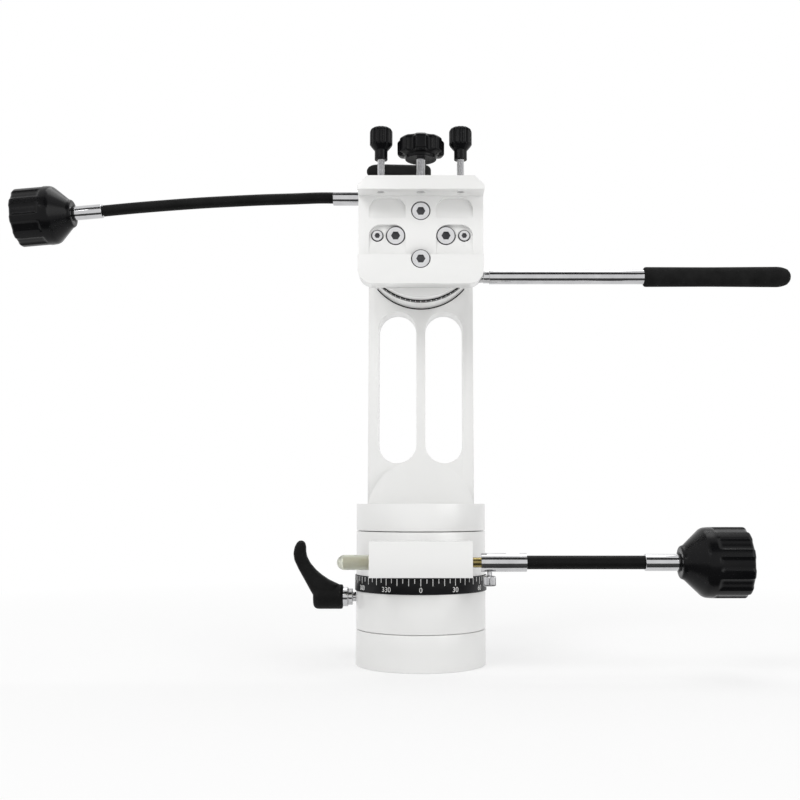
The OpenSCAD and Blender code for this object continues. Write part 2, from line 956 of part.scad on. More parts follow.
module altitude_rear_cap() {
    color("black")
        at_axis()
            difference() {
                along_y(y_arm_back, y_shaft_end + 1 + rear_cap_wall, shaft_nut_r + 2 + rear_cap_wall);
                along_y(y_arm_back - 1, y_shaft_end + 1, shaft_nut_r + 2);
            }
}

// A round tube of the flexible shaft along a list of points in one vertical plane
module shaft_tube(points, r) {
    sides = 12;
    count = len(points);
    function step(i) = points[min(i + 1, count - 1)] - points[max(i - 1, 0)];
    rings = [
        for (i = [0:count - 1], k = [0:sides - 1])
            let (d = step(i) / norm(step(i)), a = 360 * k / sides)
            points[i] + r * [-d[2] * sin(a), cos(a), d[0] * sin(a)]
    ];
    walls = [
        for (i = [0:count - 2], k = [0:sides - 1])
            [i * sides + k, (i + 1) * sides + k, (i + 1) * sides + (k + 1) % sides, i * sides + (k + 1) % sides]
    ];
    tiles = [for (w = walls, t = [0, 1]) t == 0 ? [w[0], w[2], w[1]] : [w[0], w[3], w[2]]];
    caps = [
        [for (k = [sides - 1:-1:0]) k],
        [for (k = [0:sides - 1]) (count - 1) * sides + k]
    ];
    polyhedron(points = rings, faces = [for (f = concat(tiles, caps)) reversed(f)], convexity = 4);
}

module altitude_cable() {
    color("black")
        shaft_tube(alt_cable_points, cable_d / 2);
}

module azimuth_worm() {
    color("goldenrod")
        at_azimuth_worm()
            worm(-block_x - worm_tail, block_x + worm_free_end + worm_grip);
}

module azimuth_sleeve() {
    color("silver")
        at_azimuth_worm()
            difference() {
                translate([az_sleeve_x, 0, 0])
                    sleeve(sleeve_l, worm_shaft_r + seat_fit, worm_grip + seat_fit);
                translate([az_sleeve_x + worm_grip / 2, 0, -sleeve_d])
                    cylinder(h = sleeve_d, r = thumb_stud_d / 2 + seat_fit);
            }
}

module azimuth_cable() {
    color("black")
        at_azimuth_worm()
            along_x(az_cable_x, az_ferrule_x, cable_d / 2);
}

module azimuth_ferrule() {
    color("silver")
        at_azimuth_worm()
            translate([az_ferrule_x, 0, 0])
                along_x(0, ferrule_l, sleeve_d / 2 - 0.5);
}

module azimuth_knob() {
    color("black")
        at_azimuth_worm()
            translate([az_knob_x, 0, 0])
                cone_knob(sleeve_d / 2 - 0.5 + seat_fit);
}

// Knurled screw that grips the worm shaft through the sleeve
module sleeve_thumbscrew() {
    top = -worm_shaft_r - seat_fit;
    thumb_top = -sleeve_d / 2 - thumb_gap;
    color("silver")
        at_azimuth_worm()
            translate([az_sleeve_x + worm_grip / 2, 0, 0]) {
                along_z(thumb_top - 1, top, thumb_stud_d / 2);
                along_z(thumb_top - thumb_head_h, thumb_top, thumb_head_d / 2);
            }
}

module altitude_worm() {
    color("goldenrod")
        at_altitude_worm()
            worm(-block_x - worm_free_end - worm_grip, block_x + worm_free_end);
}

module altitude_sleeve() {
    color("silver")
        translate([alt_sleeve_x, alt_worm_y, alt_worm_z])
            mirror([1, 0, 0])
                sleeve(sleeve_l, worm_shaft_r + seat_fit, worm_grip + seat_fit);
}

// Places the altitude ferrule and knob along the flexible shaft's end
module at_altitude_knob() {
    translate(cable_end)
        rotate([0, 180 + cable_tilt, 0])
            translate([turn_gap + cable_d / 2 * sin(abs(cable_tilt)), 0, 0])
                children();
}

module altitude_ferrule() {
    color("silver")
        at_altitude_knob()
            along_x(0, ferrule_l, sleeve_d / 2 - 0.5);
}

module altitude_knob() {
    color("black")
        at_altitude_knob()
            translate([ferrule_l - knob_seat, 0, 0])
                cone_knob(sleeve_d / 2 - 0.5 + seat_fit);
}

// Places a lever piece on top of the arm, with its arm to the left and back
module at_arm_lever() {
    translate([0, lever_y, z_arm_top])
        rotate([0, 0, 165])
            children();
}

module altitude_lever() {
    color("black")
        at_arm_lever()
            lever_body();
}

module altitude_lever_stud() {
    color("silver")
        at_arm_lever()
            lever_stud(arm_over - shaft_r - turn_gap - pad_l - seat_fit);
}

// Front outline of the saddle: chamfered top corners and round lower corners
module saddle_outline() {
    half = saddle_w / 2;
    high = saddle_h / 2;
    difference() {
        polygon([
            [-half, -high], [-half, high - saddle_chamfer], [-half + saddle_chamfer, high],
            [half - saddle_chamfer, high], [half, high - saddle_chamfer], [half, -high]
        ]);
        for (side = [0, 1])
            mirror([side, 0])
                translate([half - saddle_corner, -high + saddle_corner])
                    difference() {
                        translate([0, -saddle_corner - 1])
                            square(saddle_corner + 1);
                        circle(r = saddle_corner);
                    }
    }
}

// A finger pocket in the floor, deep at its top edge and fading out downwards
module floor_pocket(x, top, length) {
    round_r = 8;
    translate([x, floor_y + pocket_deep, top])
        rotate([90 - atan(pocket_deep / length), 0, 0])
            linear_extrude(pocket_deep * 1.2) {
                translate([-pocket_w / 2, -length])
                    square([pocket_w, length - round_r]);
                translate([-pocket_w / 2 + round_r, -length])
                    square([pocket_w - 2 * round_r, length]);
                for (side = [-1, 1])
                    translate([side * (pocket_w / 2 - round_r), -round_r])
                        circle(r = round_r);
            }
}

// Length of a large screw below its head, ending just short of the clutch
function big_screw_l(i) = y_clutch - 1 - big_screw_y[i] - big_screw_sink - head_h(big_screw_d);

// Place of one of the four large screws through the saddle
module at_big_screw(i) {
    translate([0, big_screw_y[i] + big_screw_sink, z_axis])
        rotate([90, 0, 0])
            rotate([0, 0, i * 90])
                translate([big_screw_r, 0, 0])
                    children();
}

// The counterbored holes for the large screws
module big_screw_holes(over) {
    for (i = [0:3])
        at_big_screw(i)
            screw_hole(big_screw_d, big_screw_l(i), over);
}

// Positions of the two small screws beside them
module at_small_screws() {
    for (side = [-1, 1])
        translate([side * small_screw_x, floor_y + big_screw_sink, z_axis])
            rotate([90, 0, 0])
                children();
}

// A bar of the saddle with a given section in Y and Z, cut to the saddle's outline
module saddle_bar(section) {
    intersection() {
        translate([-saddle_w / 2, 0, z_saddle])
            rotate([90, 0, 90])
                linear_extrude(saddle_w)
                    polygon(section);
        translate([0, y_hub + 1, z_saddle])
            rotate([90, 0, 0])
                linear_extrude(y_hub - lip_y + 2)
                    saddle_outline();
    }
}

module saddle() {
    high = saddle_h / 2;
    color("white")
        difference() {
            saddle_bar([[floor_y, -high], [floor_y, high], [y_hub, high], [y_hub, -high]]);
            for (side = [-1, 1]) {
                floor_pocket(side * pocket_x, z_lip - upper_pocket_drop, upper_pocket_l);
                floor_pocket(side * pocket_x, z_axis + lower_pocket_up, lower_pocket_l);
            }
            big_screw_holes(big_screw_over);
            at_small_screws()
                screw_hole(small_screw_d, small_screw_l, big_screw_over);
            translate([0, handle_y, handle_z])
                along_x(saddle_w / 2 - socket_depth - 1, saddle_w / 2 + 1, rod_d * 0.4 + seat_fit);
        }
}

// The upper lip, which carries the clamp screws
module saddle_lip() {
    high = saddle_h / 2;
    lip_low = high - upper_lip_h;
    color("white")
        difference() {
            saddle_bar([[lip_y, lip_low], [lip_y, high], [floor_y, high], [floor_y, lip_low]]);
            for (i = [0:2])
                translate([clamp_screw_x[i], clamp_y, 0])
                    along_z(z_lip - 1, z_saddle_top + 1, clamp_screw_d[i] / 2 + run_fit);
        }
}

// The lower jaw with its slanted upper face, held by the lowest large screw
module saddle_jaw() {
    high = saddle_h / 2;
    jaw_front = -high + lower_lip_h;
    jaw_back = jaw_front - jaw_out * tan(jaw_angle);
    color("white")
        difference() {
            saddle_bar([[jaw_y, -high], [jaw_y, jaw_front], [floor_y, jaw_back], [floor_y, -high]]);
            big_screw_holes(big_screw_over);
        }
}

module altitude_hub() {
    color("white")
        difference() {
            at_axis() {
                along_y(y_hub, y_alt_ring, base_r);
                along_y(y_alt_ring, y_alt_ring + alt_ring_t - turn_gap, ring_seat_r);
            }
            at_axis()
                along_y(y_alt_ring, y_alt_housing, shaft_flange_r + seat_fit);
            big_screw_holes(0);
            at_small_screws()
                screw_hole(small_screw_d, small_screw_l, 0);
        }
}

module altitude_ring() {
    color("black")
        at_axis()
            difference() {
                along_y(y_alt_ring, y_alt_ring + alt_ring_t, ring_r);
                along_y(y_alt_ring - 1, y_alt_housing, ring_seat_r + seat_fit);
            }
}

module altitude_shaft() {
    color("silver")
        difference() {
            at_axis() {
                along_y(y_alt_ring, y_shaft_end, shaft_r);
                along_y(y_alt_ring, y_clutch, shaft_flange_r);
            }
            big_screw_holes(0);
        }
}

module altitude_wheel() {
    y_front = y_clutch + clutch_disc_t;
    color("darkgoldenrod")
        at_axis()
            difference() {
                union() {
                    along_y(y_front, y_wheel_back, clutch_disc_r);
                    translate([0, y_wheel_back, 0])
                        rotate([90, 0, 0])
                            linear_extrude(wheel_w)
                                rotate([0, 0, 90])
                                    wheel_outline(altitude_teeth);
                }
                along_y(y_front - 1, y_wheel_back + 1, shaft_r + run_fit);
            }
}

module clutch_disc() {
    color("saddlebrown")
        at_axis()
            difference() {
                along_y(y_clutch, y_clutch + clutch_disc_t, clutch_disc_r);
                along_y(y_clutch - 1, y_alt_housing + 1, shaft_r + run_fit);
            }
}

module saddle_screws() {
    color("silver")
        for (i = [0:3])
            at_big_screw(i)
                cap_screw(big_screw_d, big_screw_l(i));
}

module saddle_small_screws() {
    color("silver")
        at_small_screws()
            cap_screw(small_screw_d, small_screw_l);
}

module shaft_washer() {
    color("silver")
        at_axis()
            difference() {
                along_y(y_arm_back + turn_gap, y_nut, shaft_nut_r);
                along_y(y_arm_back, y_shaft_end, shaft_r + run_fit);
            }
}

module shaft_nut() {
    color("dimgray")
        at_axis()
            difference() {
                translate([0, y_nut + shaft_nut_t, 0])
                    rotate([90, 0, 0])
                        cylinder(h = shaft_nut_t, r = shaft_nut_r, $fn = 6);
                along_y(y_arm_back, y_shaft_end + 1, shaft_r + seat_fit);
            }
}

module handle_rod() {
    color("silver")
        translate([0, handle_y, handle_z]) {
            along_x(saddle_w / 2 - socket_depth, rod_x + 1, rod_d * 0.4);
            along_x(saddle_w / 2 + seat_fit, rod_x, rod_d * 0.44);
            along_x(rod_x, grip_x + grip_over, rod_d / 2);
        }
}

module handle_grip() {
    color("black")
        translate([0, handle_y, handle_z])
            difference() {
                union() {
                    along_x(grip_x, grip_x + grip_l - grip_d / 2, grip_d / 2);
                    translate([grip_x + grip_l - grip_d / 2, 0, 0])
                        sphere(r = grip_d / 2);
                }
                along_x(grip_x - 1, grip_x + grip_over + seat_fit, rod_d / 2 + seat_fit);
            }
}

// A clamp screw whose tip lies just inside the upper lip
module clamp_screw(i, knob_up, knob_grip) {
    color("silver")
        translate([clamp_screw_x[i], clamp_y, 0])
            along_z(z_lip + 0.5, z_saddle_top + knob_up + knob_grip, clamp_screw_d[i] / 2);
}

// A side knob on its clamp screw
module side_knob_at(i) {
    color("black")
        translate([clamp_screw_x[i], clamp_y, z_saddle_top + side_knob_up])
            side_knob();
}

module left_clamp_screw() {
    clamp_screw(0, side_knob_up, 9);
}

module left_clamp_knob() {
    side_knob_at(0);
}

module middle_clamp_screw() {
    clamp_screw(1, star_knob_up, 12);
}

module middle_clamp_knob() {
    color("black")
        translate([0, clamp_y, z_saddle_top + star_knob_up])
            star_knob();
}

module right_clamp_screw() {
    clamp_screw(2, side_knob_up, 9);
}

module right_clamp_knob() {
    side_knob_at(2);
}

lower_ring();
middle_ring();
degree_ring();
azimuth_spindle();
azimuth_wheel();
azimuth_clamp_pad();
base_screws();
spindle_nut();
lower_thrust_washer();
azimuth_lever();
azimuth_lever_stud();
azimuth_housing();
upper_thrust_washer();
azimuth_worm_bushes();
azimuth_worm_cap();
foot_plate();
foot_screws();
spindle_cap();
arm();
arm_screws();
altitude_housing();
housing_screws();
altitude_bush();
altitude_worm_bushes();
altitude_clamp_pad();
altitude_thrust_washer();
altitude_rear_cap();
altitude_cable();
azimuth_worm();
azimuth_sleeve();
azimuth_cable();
azimuth_ferrule();
azimuth_knob();
sleeve_thumbscrew();
altitude_worm();
altitude_sleeve();
altitude_ferrule();
altitude_knob();
altitude_lever();
altitude_lever_stud();
saddle();
saddle_lip();
saddle_jaw();
altitude_hub();
altitude_ring();
altitude_shaft();
altitude_wheel();
clutch_disc();
saddle_screws();
saddle_small_screws();
shaft_nut();
shaft_washer();
handle_rod();
handle_grip();
left_clamp_screw();
left_clamp_knob();
middle_clamp_screw();
middle_clamp_knob();
right_clamp_screw();
right_clamp_knob();
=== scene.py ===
"""Looks of a worm gear telescope mount head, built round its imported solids."""

from __future__ import annotations

import json
import logging
import math
from contextlib import contextmanager
from dataclasses import dataclass
from enum import Enum
from typing import Callable, Iterable, Iterator, Sequence, Union

import bmesh
import bpy
from mathutils import Matrix, Vector

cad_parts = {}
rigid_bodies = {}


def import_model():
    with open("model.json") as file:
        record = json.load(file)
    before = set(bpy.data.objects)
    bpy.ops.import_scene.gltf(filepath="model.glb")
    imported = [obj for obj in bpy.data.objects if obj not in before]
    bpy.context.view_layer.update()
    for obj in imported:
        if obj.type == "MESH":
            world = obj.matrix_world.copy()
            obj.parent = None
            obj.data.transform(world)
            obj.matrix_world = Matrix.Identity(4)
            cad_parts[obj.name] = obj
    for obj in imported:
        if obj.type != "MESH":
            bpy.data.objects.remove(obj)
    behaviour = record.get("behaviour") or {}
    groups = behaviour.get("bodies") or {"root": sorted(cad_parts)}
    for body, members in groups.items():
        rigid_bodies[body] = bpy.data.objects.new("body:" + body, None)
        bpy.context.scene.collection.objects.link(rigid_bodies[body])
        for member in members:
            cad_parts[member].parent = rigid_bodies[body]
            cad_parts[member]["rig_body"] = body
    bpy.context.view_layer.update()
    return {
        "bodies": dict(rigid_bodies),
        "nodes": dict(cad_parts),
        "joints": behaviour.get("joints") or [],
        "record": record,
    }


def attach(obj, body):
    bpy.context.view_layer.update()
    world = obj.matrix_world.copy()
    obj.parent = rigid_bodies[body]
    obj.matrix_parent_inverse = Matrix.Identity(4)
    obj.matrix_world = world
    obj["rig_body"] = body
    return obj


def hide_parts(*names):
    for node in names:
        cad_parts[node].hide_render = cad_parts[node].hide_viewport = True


LOG = logging.getLogger("mount")
MM = 0.001
ORIGIN = Matrix.Identity(4)
HAIR = 1e-7  # points nearer than this are one, in metres
Colour = tuple[float, float, float]
Point = tuple[float, float, float]
Profile = list[tuple[float, float]]
Ring = list[Vector]

# Places that several pieces share, in millimetres

BASE_RADIUS = 41.0
AXIS_Z = 282.8  # height of the altitude axis
ARM_FACE_Y = 76.0
WORM_Y, WORM_Z = -43.0, 65.4  # axis of the azimuth worm
UPPER_WORM_Y, UPPER_WORM_Z = 59.9, 319.8  # axis of the altitude worm
CLAMP_Y = 16.0  # plane of the three clamp screws
ROD_Y, ROD_Z = 29.0, 254.8  # axis of the handle rod


# Shader building


class Val:
    """A number that varies over a surface and can be used in expressions."""

    def __init__(self, tree: "ShaderTree", socket: bpy.types.NodeSocket) -> None:
        """Keeps the tree and the socket that gives the number."""
        self.tree = tree
        self.socket = socket

    def _maths(self, operation: str, first: "Operand", second: "Operand") -> "Val":
        """Adds one Math node and gives its result."""
        made = self.tree.node("ShaderNodeMath", {0: first, 1: second}, operation=operation)
        return Val(self.tree, made.outputs[0])

    def __add__(self, other: "Operand") -> "Val":
        """Gives self + other."""
        return self._maths("ADD", self, other)

    def __rsub__(self, other: "Operand") -> "Val":
        """Gives other - self."""
        return self._maths("SUBTRACT", other, self)

    def __mul__(self, other: "Operand") -> "Val":
        """Gives self * other."""
        return self._maths("MULTIPLY", self, other)

    def capped(self, top: float = 1.0) -> "Val":
        """Gives the value, or the top where it is higher."""
        return self._maths("MINIMUM", self, top)


Operand = Union[Val, float]


def add_node(
    tree: bpy.types.NodeTree, kind: str, inputs: dict, **settings: object
) -> bpy.types.Node:
    """Adds a node to a tree.

    Args:
        tree: The node tree.
        kind: The node's type name.
        inputs: Values, sockets or Vals, by socket name or number.
        settings: Attributes that are set first.

    Returns:
        The new node.
    """
    made = tree.nodes.new(kind)
    for key, value in settings.items():
        setattr(made, key, value)
    for key, value in inputs.items():
        source = value.socket if isinstance(value, Val) else value
        if isinstance(source, bpy.types.NodeSocket):
            tree.links.new(source, made.inputs[key])
        else:
            made.inputs[key].default_value = source
    return made


class ShaderTree:
    """The nodes of one material or of the sky."""

    def __init__(
        self,
        owner: bpy.types.Material | bpy.types.World,
        output: str = "ShaderNodeOutputMaterial",
    ) -> None:
        """Empties the owner's nodes and adds an output node.

        Args:
            owner: The material or the sky.
            output: The output node's type name.
        """
        owner.use_nodes = True
        self.owner = owner
        self.tree = owner.node_tree
        self.tree.nodes.clear()
        self.output = self.tree.nodes.new(output)

    def node(self, kind: str, inputs: dict, **settings: object) -> bpy.types.Node:
        """Adds a node, as add_node does."""
        return add_node(self.tree, kind, inputs, **settings)

    def coords(self, stretch: Point = (1.0, 1.0, 1.0)) -> bpy.types.NodeSocket:
        """Gives Object coordinates, scaled along X, Y and Z."""
        source = self.node("ShaderNodeTexCoord", {}).outputs["Object"]
        return self.node("ShaderNodeMapping", {"Vector": source, "Scale": stretch}).outputs[0]

    def noise(self, scale: float, detail: float, stretch: Point = (1.0, 1.0, 1.0)) -> Val:
        """Gives clouds from 0 to 1, with a scale per metre, octaves and a stretch."""
        inputs = {"Vector": self.coords(stretch), "Scale": scale, "Detail": detail}
        return Val(self, self.node("ShaderNodeTexNoise", inputs).outputs["Fac"])

    def cells(self, scale: float) -> Val:
        """Gives the distance to the nearest cell centre of a fine cell pattern."""
        inputs = {"Vector": self.coords(), "Scale": scale}
        return Val(self, self.node("ShaderNodeTexVoronoi", inputs).outputs["Distance"])

    def ramp(self, value: Val, low: float, high: float) -> Val:
        """Spreads the part of a value between low and high over 0 to 1.

        Args:
            value: The value.
            low: What becomes 0.
            high: What becomes 1.

        Returns:
            The spread value.
        """
        made = self.node("ShaderNodeValToRGB", {"Fac": value})
        for element, place in zip(made.color_ramp.elements, (low, high)):
            element.position = place
        return Val(self, made.outputs["Color"])

    def blend(self, share: Val, first: Colour, second: Colour) -> bpy.types.NodeSocket:
        """Mixes two colours: a share of 0 gives the first and of 1 the second."""
        inputs = {0: share, 6: (*first, 1.0), 7: (*second, 1.0)}
        return self.node("ShaderNodeMix", inputs, data_type="RGBA").outputs[2]

    def bump(self, height: Val, distance: float, strength: float) -> bpy.types.NodeSocket:
        """Turns a height into a normal, with the relief's depth in metres."""
        inputs = {"Height": height, "Distance": distance, "Strength": strength}
        return self.node("ShaderNodeBump", inputs).outputs["Normal"]

    def watched(self) -> Val:
        """Tells the rays of the camera, of reflections and of clear pieces from others.

        Returns:
            1 for those rays and 0 for the rest.
        """
        path = self.node("ShaderNodeLightPath", {}).outputs
        seen = Val(self, path["Is Camera Ray"]) + Val(self, path["Is Glossy Ray"])
        return (seen + Val(self, path["Is Transmission Ray"])).capped()

    def end(self, shader: bpy.types.Node) -> None:
        """Ends the tree in a shader."""
        self.tree.links.new(shader.outputs[0], self.output.inputs["Surface"])

    def mixed(self, share: Val, first: bpy.types.Node, second: bpy.types.Node) -> None:
        """Ends the tree in a mix of two shaders: a share of 0 gives the first."""
        inputs = {0: share, 1: first.outputs[0], 2: second.outputs[0]}
        self.end(self.node("ShaderNodeMixShader", inputs))

    def surface(self, inputs: dict) -> bpy.types.Material:
        """Ends the tree in a Principled shader and gives the finished material."""
        self.end(self.node("ShaderNodeBsdfPrincipled", inputs))
        return self.owner


def paint_tree(name: str) -> ShaderTree:
    """Starts a new material with a name."""
    return ShaderTree(bpy.data.materials.new(name))


CLOUD_EDGES = (0.32, 0.68)  # where the clouds of every finish begin and end
SMUDGES_PER_CLOUD = 2.3


@dataclass(frozen=True)
class Finish:
    """A surface finish with clouded colour, clouded gloss and a fine relief."""

    slot: str  # the record's material slot
    light: Colour
    dark: Colour
    gloss: tuple[float, float]  # lowest and highest roughness
    cloud: float  # clouds per metre in colour and gloss
    grain: float  # grains per metre in the relief
    depth: float  # depth of the relief in metres
    strength: float  # how strongly the relief shows
    fixed: tuple[tuple[str, float], ...] = ()  # sockets that are the same all over
    stretch: Point = (1.0, 1.0, 1.0)  # the grain's scale along each axis
    pores: bool = False  # whether the relief is cells and not clouds

    def material(self, name: str) -> bpy.types.Material:
        """Builds the finish.

        Args:
            name: The material's name.

        Returns:
            The material.
        """
        tree = paint_tree(name)
        share = tree.ramp(tree.noise(self.cloud, 4.0), *CLOUD_EDGES)
        low, high = self.gloss
        smudge = tree.noise(self.cloud * SMUDGES_PER_CLOUD, 5.0, self.stretch)
        rough = smudge * (high - low) + low
        if self.pores:
            relief = tree.cells(self.grain)
        else:
            relief = tree.noise(self.grain, 2.0, self.stretch)
        inputs = {
            "Base Color": tree.blend(share, self.dark, self.light),
            "Roughness": rough,
            "Normal": tree.bump(relief, self.depth, self.strength),
        }
        inputs.update(dict(self.fixed))
        return tree.surface(inputs)


METAL = ("Metallic", 1.0)
SHINE = "Specular IOR Level"


class Look(Enum):
    """The finishes of this mount."""

    WHITE_PAINT = Finish(
        "white_paint", (0.83, 0.83, 0.82), (0.815, 0.815, 0.805), (0.26, 0.34),
        9.0, 1100.0, 0.00004, 0.08, (("Coat Weight", 0.3), ("Coat Roughness", 0.12)),
    )
    BLACK_ANODISE = Finish(
        "black_anodised", (0.009, 0.009, 0.010), (0.006, 0.006, 0.007), (0.3, 0.42),
        60.0, 4200.0, 0.00002, 0.15, ((SHINE, 0.15),),
    )
    MOULDING = Finish(
        "black_plastic", (0.005, 0.005, 0.0055), (0.003, 0.003, 0.0035), (0.16, 0.28),
        45.0, 2600.0, 0.00003, 0.12, ((SHINE, 0.13),),
    )
    LEVER_CAST = Finish(
        "black_plastic", (0.010, 0.010, 0.010), (0.006, 0.006, 0.006), (0.46, 0.62),
        70.0, 3000.0, 0.00006, 0.3, ((SHINE, 0.08),), pores=True,
    )
    SHAFT_COVER = Finish(
        "black_rubber", (0.008, 0.008, 0.008), (0.005, 0.005, 0.005), (0.4, 0.58),
        80.0, 1500.0, 0.00004, 0.2, ((SHINE, 0.08),), (0.15, 1.0, 1.0),
    )
    FOAM = Finish(
        "black_rubber", (0.010, 0.010, 0.010), (0.005, 0.005, 0.005), (0.72, 0.92),
        120.0, 1900.0, 0.00018, 0.45, ((SHINE, 0.12),), pores=True,
    )
    CHROME = Finish(
        "chrome", (0.60, 0.60, 0.61), (0.52, 0.52, 0.53), (0.05, 0.12),
        120.0, 2500.0, 0.00001, 0.04, (METAL,), (0.1, 1.0, 1.0),
    )
    STEEL = Finish(
        "steel", (0.74, 0.74, 0.75), (0.68, 0.68, 0.69), (0.24, 0.34),
        150.0, 2800.0, 0.00001, 0.05, (METAL,),
    )
    # Dark steel that paints the shade in the gap round each saddle screw's bright face and
    # inside its socket
    OXIDE = Finish(
        "steel", (0.10, 0.10, 0.105), (0.06, 0.06, 0.065), (0.3, 0.42),
        150.0, 2800.0, 0.00002, 0.1, (METAL,),
    )
    BRASS = Finish(
        "brass", (0.32, 0.26, 0.11), (0.24, 0.19, 0.07), (0.18, 0.32),
        120.0, 2200.0, 0.00002, 0.1, (METAL,),
    )
    MILKY = Finish(
        "clear_plastic", (0.84, 0.85, 0.76), (0.76, 0.77, 0.67), (0.3, 0.42),
        150.0, 1500.0, 0.00003, 0.1, (("Transmission Weight", 0.7), ("IOR", 1.25)),
    )
    WASHER = Finish(
        "washer_plastic", (0.80, 0.78, 0.72), (0.74, 0.71, 0.65), (0.4, 0.55),
        120.0, 2000.0, 0.00003, 0.1,
    )
    LINING = Finish(
        "clutch_lining", (0.30, 0.19, 0.12), (0.18, 0.11, 0.07), (0.75, 0.95),
        300.0, 2400.0, 0.0002, 0.6, pores=True,
    )
    INK = Finish(
        "white_paint", (0.86, 0.86, 0.85), (0.74, 0.74, 0.73), (0.5, 0.65),
        400.0, 3000.0, 0.00001, 0.1,
    )


class Paints:
    """Makes each finish once and hands it out."""

    def __init__(self) -> None:
        """Starts with nothing made."""
        self.made: dict[Look, bpy.types.Material] = {}

    def of(self, look: Look) -> bpy.types.Material:
        """Gives a finish's material, made on its first use."""
        if look not in self.made:
            self.made[look] = look.value.material(look.name.lower())
        return self.made[look]


PAINTS = Paints()


# Mesh building


def scene_object(name: str, data: bpy.types.ID) -> bpy.types.Object:
    """Puts a mesh, a text, a lamp or a camera in the scene.

    Args:
        name: The object's name.
        data: What it shows.

    Returns:
        The object, at the origin.
    """
    made = bpy.data.objects.new(name, data)
    bpy.context.scene.collection.objects.link(made)
    return made


@contextmanager
def editing(mesh: bpy.types.Mesh) -> Iterator[bmesh.types.BMesh]:
    """Opens a mesh for editing and writes it back afterwards.

    Args:
        mesh: The mesh, which may be empty.

    Yields:
        Its editable form.
    """
    build = bmesh.new()
    build.from_mesh(mesh)
    yield build
    build.to_mesh(mesh)
    build.free()


def angles(count: int) -> list[float]:
    """Gives equal steps round a full turn, in radians."""
    return [math.tau * k / count for k in range(count)]


def stitch(
    build: bmesh.types.BMesh,
    near: Sequence[bmesh.types.BMVert],
    far: Sequence[bmesh.types.BMVert],
) -> None:
    """Closes the band between two rings with equal numbers of points."""
    for k in range(len(near)):
        build.faces.new((near[k - 1], near[k], far[k], far[k - 1]))


def rectangle(name: str, size: tuple[float, float], place: Matrix) -> bpy.types.Object:
    """Makes a flat rectangle.

    Args:
        name: The object's name.
        size: Its width and height in metres.
        place: Where its centre goes.

    Returns:
        The object.
    """
    mesh = bpy.data.meshes.new(name)
    signs = ((-1, -1), (1, -1), (1, 1), (-1, 1))
    corners = [(x * size[0] / 2, y * size[1] / 2, 0) for x, y in signs]
    mesh.from_pydata(corners, [], [(0, 1, 2, 3)])
    mesh.transform(place)
    return scene_object(name, mesh)


def shell(name: str, rings: Sequence[Ring], place: Matrix = ORIGIN) -> bpy.types.Object:
    """Makes a closed skin over rings of points, with a fan at each end.

    Args:
        name: The object's name.
        rings: Rings with equal numbers of points.
        place: Where the skin goes.

    Returns:
        The object.
    """
    mesh = bpy.data.meshes.new(name)
    with editing(mesh) as build:
        rows = [[build.verts.new(p) for p in ring] for ring in rings]
        for near, far in zip(rows, rows[1:]):
            stitch(build, near, far)
        for row in (rows[0], rows[-1]):
            centre = build.verts.new(sum((v.co for v in row), Vector()) / len(row))
            for k in range(len(row)):
                build.faces.new((row[k - 1], row[k], centre))
        build.transform(place)
        bmesh.ops.recalc_face_normals(build, faces=build.faces)
    made = scene_object(name, mesh)
    smooth(made)
    return made


def smooth(piece: bpy.types.Object, angle: float = 32.0) -> None:
    """Shades a mesh smooth apart from its sharp edges.

    Args:
        piece: The mesh object.
        angle: Edges sharper than this stay sharp, in degrees.
    """
    limit = math.radians(angle)
    with editing(piece.data) as build:
        for face in build.faces:
            face.smooth = True
        for edge in build.edges:
            edge.smooth = len(edge.link_faces) != 2 or edge.calc_face_angle() < limit


def turned(
    name: str,
    corners: Sequence[Point],
    step: float,
    place: Matrix,
    sides: int,
    grooves: Grooves | None = None,
    bends: int = 5,
) -> bpy.types.Object:
    """Turns a profile about the local Z axis.

    Args:
        name: The object's name.
        corners: Height, radius and rounding of each corner, in millimetres.
        step: The longest stretch between two rings.
        place: Where the piece goes.
        sides: Points round each ring.
        grooves: The grooves cut into it.
        bends: Points on each rounded corner.

    Returns:
        The object.
    """
    rings = []
    for height, radius in fine(rounded(corners, bends), step):
        ring = []
        for angle in angles(sides):
            r = grooves.radius(height, radius, angle) if grooves else radius
            ring.append(Vector((r * math.cos(angle), r * math.sin(angle), height)) * MM)
        rings.append(ring)
    return shell(name, rings, place)


def rounded(corners: Sequence[Point], steps: int) -> Profile:
    """Rounds the corners of a profile.

    Args:
        corners: Height, radius and rounding of each corner.
        steps: Points on each rounded corner.

    Returns:
        Heights and radii.
    """
    out: Profile = []
    for i, (h, r, curve) in enumerate(corners):
        here = Vector((h, r))
        if curve <= 0 or i in (0, len(corners) - 1):
            out.append((h, r))
            continue
        before = (Vector(corners[i - 1][:2]) - here).normalized() * curve
        after = (Vector(corners[i + 1][:2]) - here).normalized() * curve
        for k in range(steps + 1):
            t = k / steps
            p = here + before * (1 - t) ** 2 + after * t**2
            out.append((p.x, p.y))
    return out


def fine(profile: Profile, step: float) -> Profile:
    """Splits long stretches of a profile.

    Args:
        profile: Heights and radii.
        step: The longest stretch that stays.

    Returns:
        The profile with more points.
    """
    out = [profile[0]]
    for a, b in zip(profile, profile[1:]):
        parts = max(1, math.ceil(math.dist(a, b) / step))
        out += [
            (a[0] + (b[0] - a[0]) * k / parts, a[1] + (b[1] - a[1]) * k / parts)
            for k in range(1, parts + 1)
        ]
    return out


